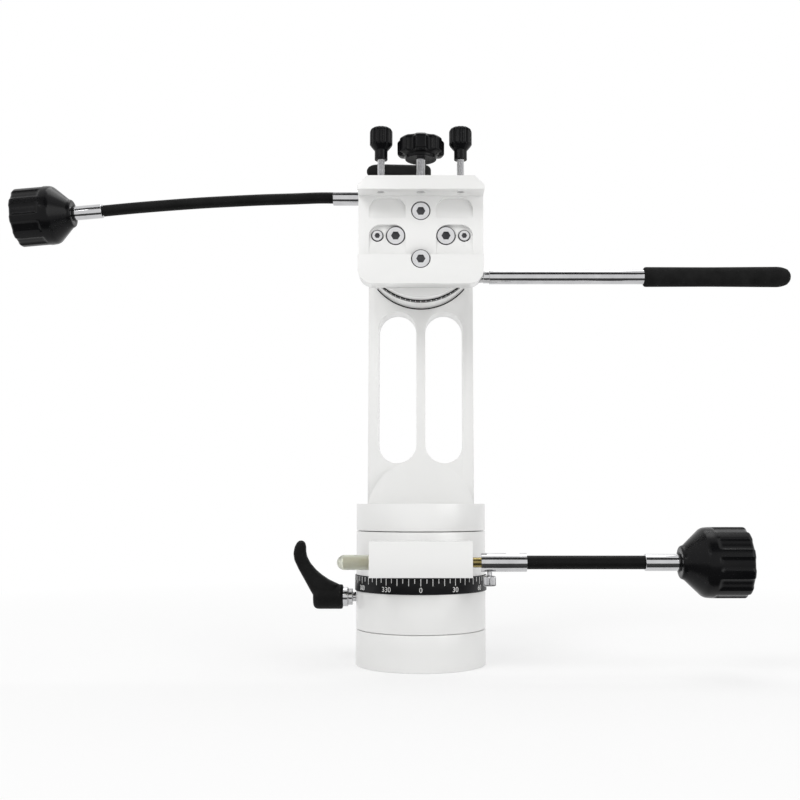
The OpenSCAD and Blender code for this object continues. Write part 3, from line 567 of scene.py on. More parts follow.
def tube(
    name: str, line: Sequence[Vector], radius: float, sides: int = 28
) -> bpy.types.Object:
    """Makes a round tube along a line.

    Args:
        name: The object's name.
        line: Points in metres.
        radius: The tube's radius in metres.
        sides: Points round it.

    Returns:
        The object.
    """
    rings = []
    for i, p in enumerate(line):
        along = (line[min(i + 1, len(line) - 1)] - line[max(i - 1, 0)]).normalized()
        across = Vector((0.0, 1.0, 0.0))
        up = along.cross(across).normalized()
        rings.append([
            p + (across * math.cos(a) + up * math.sin(a)) * radius for a in angles(sides)
        ])
    return shell(name, rings)


def baked(piece: bpy.types.Object) -> bpy.types.Mesh:
    """Gives an object's mesh as it looks with its modifiers."""
    seen = piece.evaluated_get(bpy.context.evaluated_depsgraph_get())
    return bpy.data.meshes.new_from_object(seen)


def settle(piece: bpy.types.Object) -> bpy.types.Object:
    """Turns an object with modifiers into a plain mesh.

    Args:
        piece: The object.

    Returns:
        The same object with no modifiers.
    """
    mesh = baked(piece)
    piece.modifiers.clear()
    piece.data = mesh
    return piece


def dress(
    piece: bpy.types.Object, look: Look, body: str, stands_for: Iterable[str] = ()
) -> None:
    """Gives a piece its finish, its body and the nodes that it stands for.

    Args:
        piece: The piece.
        look: Its finish.
        body: The body that carries it.
        stands_for: The nodes that it replaces.
    """
    piece.data.materials.clear()
    piece.data.materials.append(PAINTS.of(look))
    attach(piece, body)
    for name in stands_for:
        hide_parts(name)
    LOG.info("%s on %s, %d faces", piece.name, body, len(piece.data.polygons))


def at(x: float, y: float, z: float) -> Matrix:
    """Gives a place in millimetres as a matrix."""
    return Matrix.Translation(Vector((x, y, z)) * MM)


def turn(degrees: float, axis: str) -> Matrix:
    """Gives a turn about one axis as a matrix."""
    return Matrix.Rotation(math.radians(degrees), 4, axis)


# Sub-assemblies, with sizes and places in millimetres and angles in degrees


@dataclass(frozen=True)
class Undercut:
    """A narrow slit where a round casting meets the next piece."""

    axis: int  # 1 where the casting is turned about Y, 2 about Z
    face: float  # where the meeting face lies along that axis
    mouth: float  # where the far side of the slit lies along it
    height: float = 0.0  # height of the axis where it runs along Y
    radius: float = BASE_RADIUS
    depth: float = 1.4

    def cut(self, build: bmesh.types.BMesh) -> None:
        """Cuts the slit into a mesh.

        Args:
            build: The casting's mesh.
        """
        normal = Vector((0, 0, 0))
        normal[self.axis] = 1.0
        bmesh.ops.bisect_plane(
            build, geom=build.verts[:] + build.edges[:] + build.faces[:],
            dist=HAIR, plane_co=normal * self.mouth * MM, plane_no=normal,
        )
        across = 3 - self.axis
        for v in build.verts:
            side = Vector((v.co.x, v.co[across] - self.height * MM))
            on_face = abs(v.co[self.axis] - self.face * MM) < 0.01 * MM
            if on_face and abs(side.length - self.radius * MM) < 0.05 * MM:
                side *= 1 - self.depth / self.radius
                v.co.x, v.co[across] = side.x, side.y + self.height * MM


@dataclass
class JointLine:
    """A painted shadow: a thin black line on the arm where the gap under the altitude housing's
    edge is shaded.
    """

    radii: tuple[float, float] = (BASE_RADIUS - 0.3, BASE_RADIUS + 0.7)
    depths: tuple[float, float] = (ARM_FACE_Y - 0.25, ARM_FACE_Y)  # front and back along Y
    reach: float = 50.0  # degrees to each side of straight down, within the arm's width
    steps: int = 60  # sections along the arc

    def build(self) -> None:
        """Makes the painted shadow as a flat black arc on the arm's face."""
        (inner, outer), (front, back) = self.radii, self.depths
        rings = []
        for k in range(self.steps + 1):
            a = math.radians(self.reach * (2 * k / self.steps - 1))
            rings.append([
                Vector((r * math.sin(a), y, AXIS_Z - r * math.cos(a))) * MM
                for r, y in ((inner, front), (outer, front), (outer, back), (inner, back))
            ])
        # The black arc is painted shade, put where the gap under the housing casts its shadow
        piece = shell("altitude_housing_joint", rings)
        dress(piece, Look.BLACK_ANODISE, "head")


@dataclass
class Casting:
    """A machined solid, copied with its edges broken."""

    node: str  # the solid's name
    look: Look
    edge: float  # width of the broken edges
    slit: Undercut | None = None  # a slit along one edge
    joined: tuple[str, ...] = ()  # other solids that are one skin with it
    segments: int = 3  # facets across each edge
    sharp: float = 38.0  # edges sharper than this are broken
    shaded: float = 30.0  # edges sharper than this look sharp afterwards

    def build(self, frame: dict) -> None:
        """Makes the copy.
        """
        source = frame["nodes"][self.node]
        piece = scene_object(f"{self.node}_finished", source.data.copy())
        self.clean(piece)
        if self.slit:
            with editing(piece.data) as build:
                self.slit.cut(build)
        for name in self.joined:
            union = piece.modifiers.new(name, "BOOLEAN")
            union.operation = "UNION"
            union.solver = "EXACT"
            union.object = frame["nodes"][name]
        if self.joined:
            settle(piece)
            self.clean(piece)
        bevel = piece.modifiers.new("edge", "BEVEL")
        bevel.limit_method = "ANGLE"
        bevel.angle_limit = math.radians(self.sharp)
        bevel.width = self.edge * MM
        bevel.segments = self.segments
        bevel.use_clamp_overlap = True
        settle(piece)
        smooth(piece, self.shaded)
        dress(piece, self.look, source["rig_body"], [self.node, *self.joined])

    @staticmethod
    def clean(
        piece: bpy.types.Object, together: float = 0.002, flat: float = 0.4
    ) -> None:
        """Joins points that meet and merges the triangles of each flat face.

        Args:
            piece: The copied or united solid.
            together: Points nearer than this are one, in millimetres.
            flat: Faces that turn less than this are one, in degrees.
        """
        with editing(piece.data) as build:
            bmesh.ops.remove_doubles(build, verts=build.verts, dist=together * MM)
            bmesh.ops.dissolve_limit(
                build, angle_limit=math.radians(flat), verts=build.verts, edges=build.edges
            )


@dataclass
class DegreeScale:
    """White ticks round both black rings, and numbers round the azimuth ring."""

    radius: float = 41.75
    top: float = 55.6  # height of the azimuth ring's upper edge
    edge_gap: float = 0.15  # from that edge to the ticks
    long_tick: float = 4.2  # length of the ten-degree ticks
    short_tick: float = 2.7  # length of the five-degree ticks
    width: float = 0.42
    thickness: float = 0.24
    sunk: float = 0.09  # depth of a tick's middle under the ring's face
    text_gap: float = 0.9  # from the long ticks to the numbers
    text_height: float = 3.1
    font_size: float = 1.38  # the font's size for numbers of height 1
    relief: float = 0.05  # half the numbers' thickness
    skin: float = 0.03  # how far the numbers stand off the ring
    ring_face: float = 44.0  # where the altitude ring's front face lies along Y
    step: int = 10  # from one long tick to the next
    number_step: int = 30

    def tick_tree(self) -> bpy.types.NodeTree:
        """Builds the node tree that sets ticks round a circle.

        Returns:
            The tree, with named inputs for its sizes.
        """
        tree = bpy.data.node_groups.new("tick_ring", "GeometryNodeTree")
        sockets = tree.interface.new_socket
        sockets("Geometry", in_out="INPUT", socket_type="NodeSocketGeometry")
        for name in ("Radius", "Start", "Step", "Length", "Width", "Top"):
            sockets(name, in_out="INPUT", socket_type="NodeSocketFloat")
        sockets("Count", in_out="INPUT", socket_type="NodeSocketInt")
        sockets("Finish", in_out="INPUT", socket_type="NodeSocketMaterial")
        sockets("Geometry", in_out="OUTPUT", socket_type="NodeSocketGeometry")

        def add(kind: str, inputs: dict, **settings: str) -> bpy.types.NodeSocket:
            """Adds a node and gives its first output."""
            return add_node(tree, kind, inputs, **settings).outputs[0]

        def maths(operation: str, *values: object) -> bpy.types.NodeSocket:
            """Adds one Math node on sockets or numbers."""
            return add("ShaderNodeMath", dict(enumerate(values)), operation=operation)

        def vector(*values: object) -> bpy.types.NodeSocket:
            """Joins three sockets or numbers."""
            return add("ShaderNodeCombineXYZ", dict(enumerate(values)))

        given = add_node(tree, "NodeGroupInput", {}).outputs
        index = add("GeometryNodeInputIndex", {})
        angle = maths("ADD", maths("MULTIPLY", index, given["Step"]), given["Start"])
        place = vector(
            maths("MULTIPLY", maths("COSINE", angle), given["Radius"]),
            maths("MULTIPLY", maths("SINE", angle), given["Radius"]),
            maths("SUBTRACT", given["Top"], maths("MULTIPLY", given["Length"], 0.5)),
        )
        size = vector(self.thickness * MM, given["Width"], given["Length"])
        spread = add("GeometryNodeInstanceOnPoints", {
            "Points": add("GeometryNodePoints", {"Count": given["Count"], "Position": place}),
            "Instance": add("GeometryNodeMeshCube", {"Size": size}),
            "Rotation": vector(0.0, 0.0, angle),
        })
        real = add("GeometryNodeRealizeInstances", {0: spread})
        paint = add("GeometryNodeSetMaterial", {"Geometry": real, "Material": given["Finish"]})
        add_node(tree, "NodeGroupOutput", {0: paint})
        return tree

    def ticks(self, name: str, tree: bpy.types.NodeTree, values: dict) -> bpy.types.Object:
        """Makes one set of ticks.

        Args:
            name: The piece's name.
            tree: The tick tree.
            values: Its inputs by name.

        Returns:
            The ticks.
        """
        piece = scene_object(name, bpy.data.meshes.new(name))
        modifier = piece.modifiers.new("ticks", "NODES")
        modifier.node_group = tree
        for item in tree.interface.items_tree:
            if item.item_type == "SOCKET" and item.name in values:
                modifier[item.identifier] = values[item.name]
        return settle(piece)

    def number(self, value: int) -> bpy.types.Mesh:
        """Makes one number, bent round the ring.

        Args:
            value: The number in degrees, with 0 at the front.

        Returns:
            Its mesh, in place.
        """
        curve = bpy.data.curves.new(f"figure_{value}", "FONT")
        curve.body = str(value)
        curve.size = self.text_height * MM * self.font_size
        curve.align_x = "CENTER"
        curve.extrude = self.relief * MM
        holder = scene_object(f"figure_{value}", curve)
        mesh = baked(holder)
        bpy.data.objects.remove(holder)
        foot = (self.top - self.long_tick - self.text_gap - self.text_height) * MM
        face = (self.radius + self.skin) * MM
        middle = math.radians(value - 90)
        for v in mesh.vertices:
            a = middle + v.co.x / face
            r = face + v.co.z - self.relief * MM
            v.co = (r * math.cos(a), r * math.sin(a), foot + v.co.y)
        return mesh

    def build(self) -> None:
        """Makes the ticks and the numbers."""
        tree = self.tick_tree()
        common = {
            "Radius": (self.radius - self.sunk) * MM,
            "Step": math.radians(self.step), "Count": 360 // self.step,
            "Width": self.width * MM, "Top": (self.top - self.edge_gap) * MM,
            "Finish": PAINTS.of(Look.INK),
        }
        tens = {**common, "Start": 0.0, "Length": self.long_tick * MM}
        half = math.radians(self.step / 2)
        fives = {**common, "Start": half, "Length": self.short_tick * MM}
        lying = at(0, self.ring_face + self.top, AXIS_Z) @ turn(90, "X")
        for name, values, place, body in (
            ("ten_degree_ticks", tens, ORIGIN, "base"),
            ("five_degree_ticks", fives, ORIGIN, "base"),
            ("altitude_ten_ticks", tens, lying, "saddle"),
            ("altitude_five_ticks", fives, lying, "saddle"),
        ):
            piece = self.ticks(name, tree, values)
            piece.data.transform(place)
            dress(piece, Look.INK, body)
        mesh = bpy.data.meshes.new("degree_numbers")
        with editing(mesh) as build:
            for value in range(0, 360, self.number_step):
                build.from_mesh(self.number(value))
            bmesh.ops.remove_doubles(build, verts=build.verts, dist=HAIR)
        dress(scene_object("degree_numbers", mesh), Look.INK, "base")


def vee(across: float) -> float:
    """Gives the depth of a V-shaped groove, deepest at each whole spacing."""
    return across


def wave(across: float) -> float:
    """Gives the depth of a smooth wave, deepest half way between two spacings."""
    return (0.5 + 0.5 * math.cos(math.pi * across)) ** 2


def hollow(width: float, power: int) -> Callable[[float], float]:
    """Gives the depth of a flat groove, deepest half way between two spacings."""
    return lambda across: max(0.0, 1 - (across / width) ** power)


@dataclass(frozen=True)
class Grooves:
    """Grooves cut round a turned piece, or the thread of a screw."""

    count: int  # grooves in a turn, or -1 for a right-hand thread
    depth: float
    shape: Callable[[float], float]  # depth from 0 half way to 1 at each whole spacing
    start: float = 0.0  # height where they start
    inner: float = 0.0  # radius where they end on an end face
    full: float = 0.0  # radius of the full depth, where they deepen outwards
    run: float = 0.0  # height over which they deepen
    ease: float = 1.0  # power under 1 that lets them deepen sooner
    climb: float = 0.0  # turns of a thread in a millimetre
    offset: float = 0.0  # spacings that the pattern is turned by

    def radius(self, height: float, plain: float, angle: float) -> float:
        """Gives the radius with the grooves cut in.

        Args:
            height: Height on the piece.
            plain: The radius there without grooves.
            angle: Angle round the piece, in radians.

        Returns:
            The radius.
        """
        if height < self.start or plain < self.inner:
            return plain
        turns = height * self.climb + angle * self.count / math.tau + self.offset
        cut = self.depth * self.shape(abs(turns % 1.0 - 0.5) * 2)
        if self.run:
            cut *= min(1.0, (height - self.start) / self.run) ** self.ease
        if self.full:
            cut *= (plain - self.inner) / (self.full - self.inner)
        return plain - cut


@dataclass
class ConeKnob:
    """A cone-backed hand knob with broad flutes, along local Z from its narrow end."""

    node: str  # the solid that it stands for
    body: str
    place: Matrix  # where its narrow end goes, with Z along the knob
    length: float = 40.0
    radius: float = 21.0
    flutes: Grooves = Grooves(
        10, 1.1, hollow(0.66, 4), start=18.8, inner=12.6, run=1.6, ease=0.5
    )

    def build(self) -> None:
        """Makes the knob."""
        corners = [
            (0.6, 5.4, 0.0), (0.0, 6.4, 0.5), (0.0, 9.6, 1.0), (2.2, 10.4, 1.0),
            (13.0, self.radius - 0.4, 1.8), (17.0, self.radius, 1.2),
            (self.length - 1.6, self.radius, 1.2),
            (self.length, self.radius - 2.2, 1.2), (self.length, 12.0, 0.8),
            (self.length - 0.8, 11.0, 0.5), (self.length - 0.8, 0.5, 0.0),
        ]
        piece = turned(f"{self.node}_moulded", corners, 0.9, self.place, 240, self.flutes)
        dress(piece, Look.MOULDING, self.body, [self.node])


@dataclass
class StarKnob:
    """The lobed knob on the middle clamp screw."""

    seat: float = 332.9  # height of its underside
    radius: float = 16.0
    gaps: Grooves = Grooves(7, 3.2, hollow(0.52, 2), inner=11.0, full=16.0, offset=1.75)

    def build(self) -> None:
        """Makes the knob."""
        corners = [
            (0.0, 3.1, 0.0), (0.0, 10.6, 0.5), (2.2, 10.9, 0.6), (3.2, 15.0, 0.6),
            (4.0, 15.9, 0.5), (12.4, self.radius, 1.0), (14.4, 14.0, 1.4),
            (15.6, 7.0, 2.0), (15.9, 0.3, 0.0),
        ]
        place = at(0, CLAMP_Y, self.seat)
        piece = turned("middle_clamp_knob_moulded", corners, 0.6, place, 224, self.gaps)
        dress(piece, Look.MOULDING, "middle_knob", ["middle_clamp_knob"])


@dataclass
class SideKnob:
    """A fluted knob on an outer clamp screw."""

    side: str  # "left" or "right"
    x: float  # the screw's distance from the centre
    seat: float = 332.75  # height of its underside
    flutes: Grooves = Grooves(16, 0.75, wave, start=9.8, inner=6.0, run=1.0)

    def build(self) -> None:
        """Makes the knob."""
        corners = [
            (0.0, 2.6, 0.0), (0.0, 4.4, 0.4), (6.4, 4.4, 0.6), (9.9, 7.3, 0.8),
            (10.6, 7.7, 0.4), (20.4, 7.7, 1.2), (22.0, 6.2, 0.9), (21.8, 0.3, 0.0),
        ]
        name = f"{self.side}_clamp_knob"
        place = at(self.x, CLAMP_Y, self.seat)
        piece = turned(f"{name}_moulded", corners, 0.5, place, 192, self.flutes)
        dress(piece, Look.MOULDING, f"{self.side}_knob", [name])


@dataclass
class ClampScrew:
    """A clamp screw with its thread."""

    side: str  # "left", "middle" or "right"
    x: float  # its distance from the centre
    diameter: float
    pitch: float
    top: float  # height of its upper end, inside the knob
    low: float = 310.85  # height of its lower end
    tip: float = 0.6  # length of its plain tip
    depth: float = 0.55  # the thread's depth, as a share of its pitch
    rows: int = 8  # rings of points in each pitch

    def build(self) -> None:
        """Makes the screw."""
        r = self.diameter / 2
        length = self.top - self.low
        rows = math.ceil(length / self.pitch * self.rows)
        corners = [(0.0, r - 0.6, 0.0), (0.5, r - 0.45, 0.0)]
        corners += [
            (self.tip + (length - self.tip) * k / rows, r, 0.0) for k in range(rows + 1)
        ]
        thread = Grooves(
            -1, self.depth * self.pitch, vee, start=self.tip, climb=1 / self.pitch
        )
        name = f"{self.side}_clamp_screw"
        place = at(self.x, CLAMP_Y, self.low)
        piece = turned(f"{name}_threaded", corners, self.pitch, place, 40, thread)
        dress(piece, Look.CHROME, f"{self.side}_screw", [name])


# Sections of the levers' arms from hub to tip, in millimetres above and away from the
# hub: height and reach of the lower edge, height and reach of the upper, half the width

Section = tuple[float, float, float, float, float]
RISING_ARM: list[Section] = [
    (11.0, 3.0, 24.5, -4.0, 6.6), (11.5, 8.0, 27.0, 0.2, 6.9), (17.5, 10.8, 29.6, 4.6, 6.4),
    (22.0, 13.8, 31.6, 8.2, 5.9), (25.6, 16.8, 33.8, 12.0, 5.4), (29.4, 21.2, 37.0, 17.6, 5.0),
    (31.6, 25.4, 39.6, 23.0, 4.8), (32.2, 28.6, 40.3, 27.2, 4.7),
    (32.2, 31.6, 39.6, 31.2, 4.4), (32.9, 34.0, 38.2, 34.0, 3.2), (34.4, 35.4, 36.6, 35.4, 1.2),
]
LEVEL_ARM: list[Section] = [
    (14.0, 2.0, 27.0, -4.0, 6.6), (15.5, 8.0, 28.0, 4.0, 6.6), (17.0, 14.0, 29.0, 12.0, 6.0),
    (18.4, 20.0, 29.8, 19.0, 5.6), (19.6, 26.0, 30.6, 26.0, 5.3), (20.6, 32.0, 31.2, 32.0, 5.1),
    (21.2, 37.0, 31.2, 37.0, 4.8), (22.4, 40.2, 30.2, 40.2, 3.8), (24.6, 42.3, 28.2, 42.3, 1.6),
]


@dataclass
class ClampLever:
    """A clamping lever, along local Z from its seat with its arm towards local X."""

    node: str  # the solid that it stands for, which names its body too
    place: Matrix  # where its seat goes
    sections: list[Section]
    hub: tuple[float, float] = (8.5, 27.2)  # where its hub starts and ends above the seat
    hub_radius: float = 7.7
    squareness: float = 0.75  # power that makes the arm's ovals fuller; 1 leaves them plain
    around: int = 40  # points round each section
    skin: float = 0.5  # size of the skin's facets
    easing: int = 10  # rounds of smoothing
    shaded: float = 60.0  # edges sharper than this look sharp

    def fuller(self, value: float) -> float:
        """Gives a sine or cosine, raised to make an oval fuller."""
        return math.copysign(abs(value) ** self.squareness, value)

    def arm(self) -> bpy.types.Object:
        """Makes the swept arm as an oval skin over its sections.

        Returns:
            The arm.
        """
        rings = []
        for z0, x0, z1, x1, half in self.sections:
            inner, outer = Vector((x0, 0, z0)), Vector((x1, 0, z1))
            middle, reach = (inner + outer) / 2, (outer - inner) / 2
            ring = []
            for a in angles(self.around):
                c, s = self.fuller(math.cos(a)), self.fuller(math.sin(a))
                ring.append((middle + reach * c + Vector((0, half * s, 0))) * MM)
            rings.append(ring)
        return shell(f"{self.node}_arm", rings)

    def build(self) -> None:
        """Makes the lever as one smooth skin."""
        low, high = self.hub
        r = self.hub_radius
        corners = [
            (low, 0.3, 0.0), (low, r, 0.5), (high - 1.0, r, 2.4), (high, r - 2.6, 1.2),
            (high, 0.3, 0.0),
        ]
        hub = turned(f"{self.node}_moulded", corners, 1.0, ORIGIN, 72)
        arm = self.arm()
        with editing(hub.data) as build:
            build.from_mesh(arm.data)
        bpy.data.objects.remove(arm)
        skin = hub.modifiers.new("skin", "REMESH")
        skin.mode = "VOXEL"
        skin.voxel_size = self.skin * MM
        ease = hub.modifiers.new("ease", "SMOOTH")
        ease.factor = 0.5
        ease.iterations = self.easing
        settle(hub)
        hub.data.transform(self.place)
        smooth(hub, self.shaded)
        dress(hub, Look.LEVER_CAST, self.node, [self.node])


@dataclass
class FlexShaft:
    """A rubber-covered flexible shaft along a smooth line."""

    node: str  # the solid that it stands for
    body: str
    points: list[Point]
    diameter: float = 8.1
    steps: int = 5  # sections between two points

    def line(self) -> list[Vector]:
        """Gives a smooth line through the points.

        Returns:
            Points in metres.
        """
        given = [Vector(p) * MM for p in self.points]
        out = []
        for i in range(len(given) - 1):
            a, b = given[max(i - 1, 0)], given[i]
            c, d = given[i + 1], given[min(i + 2, len(given) - 1)]
            for k in range(self.steps):
                t = k / self.steps
                out.append(
                    0.5 * (2 * b + (c - a) * t + (2 * a - 5 * b + 4 * c - d) * t**2
                           + (3 * b - a - 3 * c + d) * t**3)
                )
        return out + [given[-1]]

    def build(self) -> None:
        """Makes the shaft's cover."""
        piece = tube(f"{self.node}_cover", self.line(), self.diameter / 2 * MM)
        dress(piece, Look.SHAFT_COVER, self.body, [self.node])


@dataclass
class HandleGrip:
    """The foam grip on the handle rod."""

    start: float = 152.75  # where it starts along the rod
    length: float = 100.0
    radius: float = 7.0

    def build(self) -> None:
        """Makes the grip."""
        corners = [
            (0.0, 5.1, 0.0), (0.0, self.radius - 0.8, 0.4), (0.9, self.radius - 0.2, 0.5),
            (self.length * 0.45, self.radius - 0.35, 8.0),
            (self.length - 5.5, self.radius, 4.0),
            (self.length - 1.2, self.radius - 2.2, 2.2), (self.length, 2.6, 1.2),
            (self.length, 0.3, 0.0),
        ]
        place = at(self.start, ROD_Y, ROD_Z) @ turn(90, "Y")
        piece = turned("handle_grip_foam", corners, 2.0, place, 64, bends=8)
        dress(piece, Look.FOAM, "saddle", ["handle_grip"])


@dataclass
class ThumbScrew:
    """The knurled screw under the azimuth sleeve."""

    x: float = 41.0  # where it stands along the sleeve
    drop: float = 14.05  # from the worm's axis down to its head's underside
    knurl: Grooves = Grooves(28, 0.28, vee, inner=3.4)

    def build(self) -> None:
        """Makes the screw."""
        corners = [
            (0.0, 0.2, 0.0), (0.0, 3.0, 0.3), (0.5, 3.75, 0.2), (5.6, 3.75, 0.2),
            (6.2, 3.1, 0.3), (6.5, 1.5, 0.2), (11.0, 1.5, 0.2), (11.0, 0.2, 0.0),
        ]
        place = at(self.x, WORM_Y, WORM_Z - self.drop)
        name = "sleeve_thumbscrew_knurled"
        piece = turned(name, corners, 0.6, place, 168, self.knurl, bends=3)
        dress(piece, Look.CHROME, "azimuth_worm", ["sleeve_thumbscrew"])


@dataclass
class ScrewFaces:
    """The bright turned faces of the saddle's socket screws, set on dark screws whose painted
    shade shows as a ring round each face and in each socket.
    """

    ring: float = 17.25  # distance of the four large screws from the altitude axis
    outer: float = 29.75  # distance of the two small screws
    plate: float = 25.0  # where the heads of the screws in the plate lie along Y
    jaw: float = 20.0  # where the head of the screw in the jaw lies
    large: tuple[float, float] = (6.4, 3.0)  # head radius and socket radius of the large screws
    small: tuple[float, float] = (4.0, 1.8)  # the same of the small screws
    rim: float = 0.55  # width of the painted shadow round each face, where the dark screw below shows
    lift: float = 0.08  # how far the faces stand out
    sunk: float = 0.1  # how far they reach in
    bevel: float = 0.15  # from a socket to the hole in its face
    sides: int = 60  # points round each face

    def face(self, build: bmesh.types.BMesh, centre: Point, head: float, socket: float) -> None:
        """Adds one face with its six-sided hole.

        Args:
            build: The mesh.
            centre: The middle of the screw's head.
            head: The head's radius.
            socket: The hole's radius.
        """
        sixth = math.pi / 3
        rows = []
        for depth, hexed in ((-self.lift, 0), (self.sunk, 0), (self.sunk, 1), (-self.lift, 1)):
            row = []
            for a in angles(self.sides):
                flat = math.cos(sixth / 2) / math.cos(a % sixth - sixth / 2)
                r = (socket + self.bevel) * flat if hexed else head - self.rim
                point = Vector(centre) + Vector((r * math.cos(a), depth, r * math.sin(a)))
                row.append(build.verts.new(point * MM))
            rows.append(row)
        for near, far in zip(rows, rows[1:] + rows[:1]):
            stitch(build, near, far)

    def build(self) -> None:
        """Makes the faces as one piece."""
        mesh = bpy.data.meshes.new("saddle_screw_faces")
        with editing(mesh) as build:
            for x, y, z, size in (
                (self.ring, self.plate, 0.0, self.large),
                (0.0, self.plate, self.ring, self.large),
                (-self.ring, self.plate, 0.0, self.large),
                (0.0, self.jaw, -self.ring, self.large),
                (self.outer, self.plate, 0.0, self.small),
                (-self.outer, self.plate, 0.0, self.small),
            ):
                self.face(build, (x, y, AXIS_Z + z), *size)
            bmesh.ops.recalc_face_normals(build, faces=build.faces)
        piece = scene_object("saddle_screw_faces", mesh)
        smooth(piece)
        dress(piece, Look.STEEL, "saddle")


# Solids that stay as they are and only take a finish

KEPT: dict[Look, tuple[str, ...]] = {
    Look.STEEL: (
        "azimuth_spindle", "spindle_nut", "altitude_shaft", "shaft_nut", "shaft_washer",
    ),
    Look.BRASS: (
        "azimuth_wheel", "azimuth_clamp_pad", "azimuth_worm_bushes", "altitude_worm_bushes",
        "altitude_bush", "altitude_clamp_pad", "azimuth_worm", "altitude_worm",
        "altitude_wheel",
    ),
    Look.WASHER: ("lower_thrust_washer", "upper_thrust_washer", "altitude_thrust_washer"),
    Look.LINING: ("clutch_disc",),
}


def alike(look: Look, edge: float, *nodes: str) -> list[Casting]:
    """Gives castings with one finish and one width of broken edge."""
    return [Casting(node, look, edge) for node in nodes]


CASTINGS = [
    Casting("lower_ring", Look.WHITE_PAINT, 0.5),
    Casting("middle_ring", Look.WHITE_PAINT, 0.3, Undercut(2, 22.0, 22.6)),
    Casting("degree_ring", Look.BLACK_ANODISE, 0.35),
    *alike(Look.WHITE_PAINT, 0.8, "azimuth_housing", "foot_plate"),
    Casting("arm", Look.WHITE_PAINT, 0.9),
    Casting(
        "altitude_housing", Look.WHITE_PAINT, 0.5,
        Undercut(1, ARM_FACE_Y, ARM_FACE_Y - 0.8, AXIS_Z),
    ),
    Casting("saddle", Look.WHITE_PAINT, 0.7, joined=("saddle_lip", "saddle_jaw")),
    Casting("altitude_hub", Look.WHITE_PAINT, 0.5),
    Casting("altitude_ring", Look.BLACK_ANODISE, 0.35),
    Casting("spindle_cap", Look.MOULDING, 0.5),
    Casting("altitude_rear_cap", Look.MOULDING, 1.2),
    *alike(
        Look.CHROME, 0.4, "azimuth_lever_stud", "altitude_lever_stud", "azimuth_sleeve",
        "altitude_sleeve", "azimuth_ferrule", "altitude_ferrule",
    ),
    Casting("azimuth_worm_cap", Look.MILKY, 0.6),
    Casting("handle_rod", Look.CHROME, 0.3),
    *alike(Look.STEEL, 0.3, "base_screws", "foot_screws", "arm_screws", "housing_screws"),
    # The saddle's screws are dark steel that paints the shade round and inside their bright
    # faces
    Casting("saddle_screws", Look.OXIDE, 0.4),
    Casting("saddle_small_screws", Look.OXIDE, 0.3),
]


